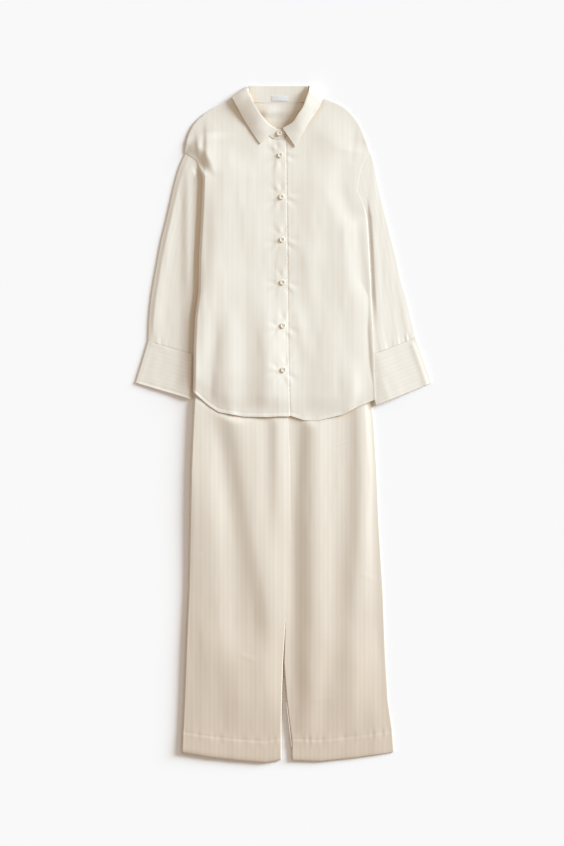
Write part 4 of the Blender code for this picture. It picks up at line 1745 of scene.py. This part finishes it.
    def front_under(self, side: Worn, x: Field, y: Field) -> Field:
        """The underside of the right front, or the upper face of the left one.

        Args:
            side: Which front.
            x: Where, along X.
            y: Where, along Y.

        Returns:
            Its height.
        """
        from_hem = np.maximum(y - self.hem(side, x), 0.0)
        placket = along(self.placket_edge, "y", "x", y)
        if side is Worn.LEFT:
            under = smooth((placket + 1.5 - x) / 3) * smooth((632 - y) / 8)
        else:
            under = smooth((x - placket + self.placket_width - 0.6) / 1.2)
        low = self.base(x, y) + self.hem_detail(x, from_hem) - self.under_placket * under
        return np.maximum(low, self.rest(x, y))

    def tug(self, x: Field, y: Field) -> Field:
        """Small drag lines beside the buttons.

        Args:
            x: Where, along X.
            y: Where, along Y.

        Returns:
            What they add to the height.
        """
        total = np.zeros_like(x)
        for index, (at_x, at_y) in enumerate(self.buttons[1:]):
            far = np.hypot(x - at_x, y - at_y)
            angle = np.arctan2(y - at_y, x - at_x)
            rays = np.sin(6 * angle + 1.7 * index) + 0.6 * np.sin(9 * angle + 2.3 * index)
            total += self.pull * rays * smooth((far - 12) / 10) * bell(far - 18, 16)
        return total

    def hem_detail(self, x: Field, from_hem: Field) -> Field:
        """The narrow double hem and its slight waves.

        Args:
            x: Where, along X.
            from_hem: How far above the hem.

        Returns:
            What it adds to the height.
        """
        band = 0.3 * smooth((self.hem_depth - from_hem) / 1.5)
        wave = 0.5 * ripple(x, x * 0, 16, 50, 43) * bell(from_hem, 14)
        return band + wave - 0.3 * bell(from_hem - self.hem_depth, 1.5)

    def front_top(self, side: Worn, x: Field, y: Field) -> Field:
        """A wall above front_under, which is the right front's upper face."""
        return self.front_under(side, x, y) + WALL

    def placket_top(self, x: Field, y: Field) -> Field:
        """The placket's upper face, level with the right front and proud of the left one.

        Args:
            x: Where, along X.
            y: Where, along Y.

        Returns:
            Its height.
        """
        edge = along(self.placket_edge, "y", "x", y)
        in_left = np.maximum(x - edge + self.placket_width, 0.0)
        from_hem = np.maximum(y - self.hem(Worn.RIGHT, x), 0.0)
        level = self.base(x, y) + self.hem_detail(x, from_hem) + WALL
        round_ = 0.2 * (1 - smooth((edge - x) / 1.6))
        waves = 0.15 * ripple(x, y, 22, 34, 51) * smooth(in_left / 5)
        return level + self.placket_rise * smooth(in_left / 9) + waves - round_

    def place_placket(self, across: Field, down: Field) -> Placed:
        """Places the placket's grid.

        Args:
            across: From the picture's left side to its right one, 0 to 1.
            down: From the neck to the hem, 0 to 1.

        Returns:
            x, y and z, and the place in the cut cloth.
        """
        y = self.placket_top_y + (self.placket_low_y - self.placket_top_y) * down
        x = along(self.placket_edge, "y", "x", y) - self.placket_width * (1 - spread(across))
        return x, y, self.placket_top(x, y), x, y

    def place_back(self, across: Field, down: Field) -> Placed:
        """Places the back's grid, with the sleeve heads' notches and the rise at the neck.

        Args:
            across: From the picture's left side to its right one, 0 to 1.
            down: From the neck to the hem, 0 to 1.

        Returns:
            x, y and z, and the place in the cut cloth.
        """
        level = self.shoulder_top + (self.back_low - self.shoulder_top) * down
        sides = []
        for side, armhole in ((Worn.RIGHT, self.armhole_right), (Worn.LEFT, self.armhole_left)):
            edge = self.body.edge(side, level) - 3 * side.value
            inside = (level < armhole[0].y) & (level > armhole[-1].y)
            nearer = side.pick(np.maximum, np.minimum)(edge, along(armhole, "y", "x", level))
            sides.append(np.where(inside, nearer, edge))
        left, right = sides
        x = left + (right - left) * (0.5 * across + 0.5 * spread(across))
        dip = smooth((80 - np.abs(x + 10)) / 10 + 0.5) * smooth(1 - down / 0.08)
        y = level - self.back_dip * dip
        y = y + (self.nearer_hem(x) + 12 - self.back_low) * smooth((down - 0.75) / 0.25)
        under_neck = np.maximum(self.neck_y - y, 0)
        off = x + 27 + 0.35 * under_neck
        neck = self.neck_swell * bell(off, np.where(off < 0, 12.0, 20.0)) * smooth(under_neck / 26)
        neck += 0.3 * ripple(x, y, 16, 40, 61) * smooth(under_neck / 14)
        neck *= smooth((y - 630) / 20)
        return x, y, self.under_back(x, y) + np.maximum(neck, 0.0), x, y

    def place_front(self, side: Worn, across: Field, down: Field) -> Placed:
        """Places a front's grid, so that the right one's wall rises and the left one's hangs.

        Args:
            side: Which front.
            across: From its outer edge to the placket's, 0 to 1.
            down: From the shoulder to the hem, 0 to 1.

        Returns:
            x, y and z, and the place in the cut cloth.
        """
        low = side.pick(self.front_low_right, self.front_low_left)
        level = self.shoulder_top + (low - self.shoulder_top) * down
        outer = self.body.edge(side, level)
        inner = along(self.placket_edge, "y", "x", level) - self.placket_width
        inner += side.pick(4.0, 3.0)
        neck = side.pick(self.neck_right, self.neck_left)
        at_neck = level > min(point.y for point in neck)
        inner = np.where(at_neck, along(neck, "y", "x", level) + 2.0 * side.value, inner)
        x = outer + (inner - outer) * spread(across)
        y = level + (self.hem(side, x) - low) * smooth((down - 0.7) / 0.3)
        return x, y, self.front_under(side, x, y), x, y

    def build(self) -> list[bpy.types.Object]:
        """Builds the body.

        Returns:
            The pieces.
        """
        slot = "shirt_satin"
        back = Cloth("shirt_back", 124, 140, self.place_back, self.satin, slot).build()
        pieces = [back]
        for side in Worn:
            front = Cloth(
                f"shirt_front_{side.word}", 82, 270, partial(self.place_front, side),
                self.satin, slot,
            ).build()
            area = side.pick(0.114, 0.138)
            pieces.append(front)
        placket = Cloth(
            "placket", 22, 240, self.place_placket, self.satin, slot, self.placket_wall, -1.0
        ).build()
        self.sew()
        return pieces + [placket]

    def sew(self) -> None:
        """Sews the placket and the hems."""
        rows = Stitching("shirt_stitches", self.thread, "shirt_satin", thick=0.2, sunk=0.12)
        y = np.linspace(617, 20, 60)
        for off in (-4.0, -self.placket_width + 4.0):
            path = list(zip(along(self.placket_edge, "y", "x", y) + off, y))
            rows.row(path, self.placket_top)
        for side, ends in ((Worn.RIGHT, (-186, -20)), (Worn.LEFT, (18, 190))):
            x = np.linspace(*ends, 60)
            path = list(zip(x, self.hem(side, x) + self.hem_depth))
            rows.row(path, partial(self.front_top, side))
        rows.finish_piece()


@dataclass
class Collar:
    """A stand round the neck, the fall that folds over it, and the blank label inside."""

    satin: bpy.types.Material
    tape: bpy.types.Material
    thread: bpy.types.Material
    stand: tuple[Strip, ...] = table(
        Strip,
        (2.5, 648, 7.0, 1.5, 624, 6.75), (-15, 649, 8.0, -22, 627.5, 6.75),
        (-31, 658, 9.7, -37, 637.6, 7.2), (-42, 671, 11.3, -50, 648, 7.4),
        (-54, 686, 12.2, -62, 661, 7.2), (-64, 702, 12.3, -72, 675, 7.0),
        (-71, 718, 10.8, -80, 691, 7.0), (-78, 732, 5.6, -86, 704, 5.0),
        (-78, 741, 2.4, -82, 710, 2.8), (-70, 742.5, 2.5, -68, 707, 1.9),
        (-40, 743, 1.8, -42, 706, 1.8), (-10, 743, 1.8, -10, 706, 1.8),
        (18, 743, 1.8, 21, 706, 1.8), (44, 742.5, 2.6, 40, 707, 2.1), (52, 741, 5.4, 50, 710, 3.4),
        (53, 732, 12.4, 60, 704, 5.0), (49, 716, 15.0, 58, 691, 6.2), (42, 694, 15.6, 49, 675, 6.0),
        (31, 678, 14.8, 38, 661, 5.8), (19, 661, 11.2, 26, 648, 5.2), (4, 648, 6.8, 13, 636.6, 4.6),
        (-14, 646, 5.2, -17, 621, 5.0),
    )
    fall: tuple[Strip, ...] = table(
        Strip,
        (-16, 650, 11.2, -51, 615, 8.5), (-31, 659, 12.4, -64, 633, 8.6),
        (-43, 672, 13.4, -75, 650, 8.6), (-54, 687, 14.0, -85, 666, 8.6),
        (-64, 703, 14.0, -94, 682, 8.7), (-72, 719, 12.6, -102, 697, 9.0),
        (-78, 733, 10.6, -109, 710, 9.2), (-80, 742, 5.6, -113, 718, 6.0),
        (-77, 744, 1.0, -106, 717.5, 0.8), (-60, 744, 0.8, -78, 704, 0.8),
        (-36, 744, 0.8, -44, 697, 0.8), (-11, 744, 0.8, -11, 696, 0.8),
        (14, 744, 0.8, 20, 697, 0.8), (38, 744, 0.8, 54, 704, 0.8), (55, 744, 1.0, 81, 718.5, 0.8),
        (58, 743, 8.0, 88, 719, 7.0), (56, 734, 15.0, 84, 709, 10.3),
        (51, 718, 17.0, 78, 695, 10.3), (43, 696, 17.8, 68, 680, 10.2),
        (32, 680, 17.2, 56, 662, 9.9), (20, 663, 14.6, 42, 638, 9.4), (-2, 650, 11.2, 26, 609, 8.6),
    )
    wall: float = 1.1
    arch: float = 0.8
    topstitch: float = 5.5
    round_neck: float = 640.0
    fall_seed: int = 72
    label_left: float = -26.0
    label_top: float = 721.0
    label_long: float = 35.0
    label_tall: float = 11.0
    label_height: float = 2.6
    label_bow: float = 0.5

    def place_strip(
        self, strips: tuple[Strip, ...], arch: float, seed: int, across: Field, down: Field
    ) -> Placed:
        """Places a strip's grid.

        Args:
            strips: The cuts across it.
            arch: How far it swells between its edges.
            seed: Its unevenness.
            across: Down the strip, 0 to 1.
            down: Round the neck, 0 to 1.

        Returns:
            x, y and z, and the place in the cut cloth.
        """
        across = spread(across)
        rows = flowing(strips, down * (len(strips) - 1))
        roll, low = rows[:, :3], rows[:, 3:]
        spot = roll + (low - roll) * across[:, None]
        deep = np.hypot(low[:, 0] - roll[:, 0], low[:, 1] - roll[:, 1])
        swell = arch * np.sin(math.pi * across) * smooth(roll[:, 2] / 12)
        round_ = down * self.round_neck
        uneven = 0.25 * ripple(round_, across * deep, 24, 18, seed) * smooth(roll[:, 2] / 8)
        uneven -= 0.5 * arch * (1 - smooth(across * deep / 3.6)) * smooth(roll[:, 2] / 8)
        lift = neck_lift(spot[:, 0]) * smooth((spot[:, 2] - 1) / 5)
        height = np.maximum(spot[:, 2] + swell + uneven + lift, self.wall * 0.7)
        return spot[:, 0], spot[:, 1], height, round_, across * deep

    def build(self) -> list[bpy.types.Object]:
        """Builds the collar.

        Returns:
            The pieces.
        """
        slot = "shirt_satin"
        stand = Cloth(
            "collar_stand", 14, 252, partial(self.place_strip, self.stand, 0.0, 71), self.satin,
            slot, self.wall, -1.0,
        ).build()
        fall = Cloth(
            "collar_fall", 22, 294, self.place_fall, self.satin, slot, self.wall, -1.0
        ).build()
        label = Cloth(
            "neck_label", 30, 12, self.place_label, self.tape, "label_tape", rim=0.02
        ).build()
        self.sew()
        return [stand, fall, label]

    def place_fall(self, across: Field, down: Field) -> Placed:
        """Places the fall's grid."""
        return self.place_strip(self.fall, self.arch, self.fall_seed, across, down)

    def place_label(self, across: Field, down: Field) -> Placed:
        """Places the blank label, slightly bowed between its sewn ends.

        Args:
            across: From end to end, 0 to 1.
            down: From its upper edge to its lower one, 0 to 1.

        Returns:
            x, y and z, and the place in the cut cloth.
        """
        across = spread(across)
        bow = self.label_bow * np.sin(math.pi * across)
        u, v = self.label_long * across, self.label_tall * down
        return self.label_left + u, self.label_top - v + bow, self.label_height + bow, u, v

    def sew(self) -> None:
        """Topstitches the fall's edges."""
        rows = Stitching("collar_stitches", self.thread, "shirt_satin")
        last = len(self.fall) - 1
        ends = (0.35 / last, 1 - 0.35 / last)
        down = np.linspace(*ends, 500)
        cuts = flowing(self.fall, down * last)
        deep = np.hypot(*(cuts[:, 3:5] - cuts[:, :2]).T)
        across = np.arccos(2 * self.topstitch / deep - 1) / math.pi
        self.sew_line(rows, *self.place_fall(across, down)[:3])
        for end in ends:
            across = np.linspace(0.15, 0.78, 40)
            self.sew_line(rows, *self.place_fall(across, np.full(40, end))[:3])
        rows.finish_piece()

    def sew_line(self, rows: Stitching, x: Field, y: Field, z: Field) -> None:
        """Sews along points that already have their heights.

        Args:
            rows: The stitching to add to.
            x: The points' x.
            y: The points' y.
            z: The points' heights.
        """
        rows.row(list(zip(x, y)), partial(nearest, np.stack([x, y], 1), z))


@dataclass
class Buttons:
    """Seven four-hole buttons and their threads."""

    pearl: bpy.types.Material
    thread: bpy.types.Material
    places: tuple[tuple[float, float], ...]
    under: Callable[[Field, Field], Field]
    first: float = 7.5
    radius: float = 5.8
    height: float = 2.4
    hole: float = 0.75
    hole_from_middle: float = 1.5
    sides: int = 48
    turned_by: float = 0.4
    thread_thick: float = 0.5
    thread_level: float = 0.79

    def profile(self) -> list[tuple[float, float]]:
        """Draws half a button's outline, from its dished middle over the rim to the underside.

        Returns:
            Its points, as the distance from the axis and the height.
        """
        r, h = self.radius, self.height
        return [
            (0.0, 0.76 * h), (0.46 * r, 0.77 * h), (0.6 * r, 0.82 * h), (0.7 * r, 0.92 * h),
            (0.78 * r, 0.98 * h), (0.84 * r, h), (0.91 * r, 0.94 * h), (0.98 * r, 0.78 * h),
            (r, 0.58 * h), (0.97 * r, 0.34 * h), (0.86 * r, 0.12 * h), (0.7 * r, 0.0), (0.0, 0.0),
        ]

    def shape(self) -> bpy.types.Mesh:
        """Turns one button and bores its four holes.

        Returns:
            Its mesh, round the origin.
        """
        turned = bmesh.new()
        points = [turned.verts.new((a * MM, 0, b * MM)) for a, b in self.profile()]
        rim = [turned.edges.new(pair) for pair in zip(points, points[1:])]
        bmesh.ops.spin(
            turned, geom=points + rim, cent=(0, 0, 0), axis=(0, 0, 1), dvec=(0, 0, 0),
            angle=2 * math.pi, steps=self.sides, use_merge=True, use_duplicate=False,
        )
        bmesh.ops.remove_doubles(turned, verts=turned.verts, dist=0.001 * MM)
        bmesh.ops.recalc_face_normals(turned, faces=turned.faces)
        blank = linked("blank", settled("button", turned))
        drill = bmesh.new()
        for step in range(4):
            angle = math.pi / 4 + step * math.pi / 2
            at = Vector((math.cos(angle), math.sin(angle), 0)) * self.hole_from_middle * MM
            bmesh.ops.create_cone(
                drill, cap_ends=True, segments=16, radius1=self.hole * MM, radius2=self.hole * MM,
                depth=6 * self.height * MM, matrix=Matrix.Translation(at),
            )
        cutter = linked("drill", settled("drill", drill))
        bore = blank.modifiers.new("bore", "BOOLEAN")
        bore.operation, bore.solver, bore.object = "DIFFERENCE", "EXACT", cutter
        bpy.context.view_layer.update()
        bored = blank.evaluated_get(bpy.context.evaluated_depsgraph_get())
        done = bpy.data.meshes.new_from_object(bored)
        bpy.data.objects.remove(blank)
        bpy.data.objects.remove(cutter)
        return done

    def build(self) -> list[bpy.types.Object]:
        """Builds the buttons.

        Returns:
            The pieces.
        """
        shape = self.shape()
        pieces = []
        threads = Stitching("button_threads", self.thread, "shirt_satin", thick=self.thread_thick)
        for index, (x, y) in enumerate(self.places, start=1):
            turn = np.linspace(0, 2 * math.pi, 24)
            rim = self.under(x + self.radius * np.cos(turn), y + self.radius * np.sin(turn))
            low = float(rim.max()) + CLOSE if index > 1 else self.first
            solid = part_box(f"button_{index}")[0].z / MM
            LOG.info("button %d: %.2f, drawn at %.2f", index, solid, low)
            mesh = shape.copy()
            mesh.name = f"button_{index}_pearl"
            spin = Matrix.Rotation(self.turned_by * index, 4, "Z")
            mesh.transform(Matrix.Translation(Vector((x, y, low)) * MM) @ spin)
            mesh.materials.clear()
            mesh.materials.append(self.pearl)
            mesh.shade_smooth()
            mesh.set_sharp_from_angle(angle=math.radians(40))
            pieces.append(take(linked(mesh.name, mesh), "pearl_button", f"button_{index}"))
            self.tie(threads, Vector((x, y, low + self.thread_level * self.height)), index)
        threads.finish_piece()
        return pieces

    def tie(self, threads: Stitching, middle: Vector, index: int) -> None:
        """Sews a button on with two stitches side by side.

        Args:
            threads: The stitching to add to.
            middle: The middle of the button's face.
            index: The button's number.
        """
        angle = self.turned_by * index + math.pi / 4
        for way in (1, -1):
            off = self.hole_from_middle
            start = Vector((math.cos(angle), math.sin(angle), 0)) * off * way
            end = Vector((-math.sin(angle), math.cos(angle), 0)) * off * way
            threads.stitch(middle + start, middle + end)


@dataclass
class Studio:
    """The floor, the soft light from the right and the camera straight above."""

    floor: bpy.types.Material
    scale: float = 2.2
    tall: int = 846
    middle_x: float = -3.3
    middle_y: float = 2.2
    camera_height: float = 6.0
    key_height: float = 17.0
    key_round: float = 28.0
    key_soft: float = 24.0
    key_strength: float = 6.89
    key_tone: tuple[float, float, float] = (0.761, 0.888, 1.0)
    fill: float = 0.53
    fill_tone: tuple[float, float, float] = (1.0, 0.847, 0.712)
    floor_half: float = 30.0
    floor_drop: float = 0.2
    sensor: float = 36.0

    def build(self) -> None:
        """Builds the stage, the light and the camera."""
        self.lay_floor()
        self.light()
        self.aim()

    def lay_floor(self) -> None:
        """Lays a plain floor just under the cloth."""
        plane = bmesh.new()
        bmesh.ops.create_grid(plane, x_segments=1, y_segments=1, size=self.floor_half)
        bmesh.ops.translate(plane, verts=plane.verts, vec=(0, 0, -self.floor_drop * MM))
        mesh = settled("floor", plane)
        mesh.materials.append(self.floor)
        floor = linked("floor", mesh)

    def light(self) -> None:
        """Sets a low soft key from the right and an even pale fill."""
        key = bpy.data.lights.new("key", "SUN")
        key.energy = self.key_strength
        key.angle = math.radians(self.key_soft)
        key.color = self.key_tone
        up, turn = math.radians(self.key_height), math.radians(self.key_round)
        flat = math.cos(up)
        towards = Vector((math.cos(turn) * flat, math.sin(turn) * flat, math.sin(up)))
        linked("key", key).rotation_euler = towards.to_track_quat("Z", "Y").to_euler()
        world = bpy.data.worlds.new("pale room")
        world.use_nodes = True
        sky = world.node_tree.nodes["Background"]
        sky.inputs["Color"].default_value = colour(self.fill_tone)
        sky.inputs["Strength"].default_value = self.fill
        bpy.context.scene.world = world
        bpy.context.scene.view_settings.view_transform = "Standard"

    def aim(self) -> None:
        """Puts the camera straight above, square to the set."""
        lens = bpy.data.cameras.new("camera")
        lens.sensor_width = self.sensor
        lens.lens = self.sensor * self.camera_height / (self.tall * self.scale * MM)
        lens.clip_end = 100.0
        camera = linked("camera", lens)
        camera.location = (self.middle_x * MM, self.middle_y * MM, self.camera_height)
        bpy.context.scene.camera = camera


def main() -> None:
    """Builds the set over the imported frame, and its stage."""
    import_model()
    light, dark, cuff_dark = (0.802, 0.761, 0.680), (0.79, 0.740, 0.652), (0.787, 0.733, 0.642)
    satin = Satin("shirt satin", light, dark, low_light=light, low_dark=dark).build()
    cuff_satin = Satin(
        "cuff satin", light, cuff_dark, low_light=light, low_dark=cuff_dark, spacing=0.018
    ).build()
    leg_satin = Satin(
        "trouser satin", light=(0.775, 0.725, 0.637), dark=(0.755, 0.698, 0.600),
        low_light=(0.645, 0.545, 0.442), low_dark=(0.62, 0.515, 0.41), spacing=0.020,
        # painted shade: the trousers' tint in their hollows, darker and warmer than the shirt's
        hollow_shade=(1.0, 0.88, 0.73),
    ).build()
    thread = Thread("cream thread", (0.78, 0.73, 0.65)).build()
    trousers = Trousers(leg_satin, thread)
    body = Body()
    sleeves = Sleeves(body, satin, cuff_satin, thread)
    shirt = Shirt(satin, thread, trousers, sleeves, body)
    collar = Collar(satin, Tape().build(), thread)
    made = {
        "trousers": trousers.build(),
        "sleeves": sleeves.build(),
        "shirt": shirt.build(),
        "collar": collar.build(),
        "buttons": Buttons(Pearl().build(), thread, shirt.buttons, shirt.placket_top).build(),
    }
    for name, pieces in made.items():
        LOG.info("%s: %d pieces", name, len(pieces))
    # marks the hollows that the painted shade darkens and warms
    HollowShade().mark([piece for pieces in made.values() for piece in pieces])
    Studio(Paper().build()).build()


if __name__ == "__main__":
    main()
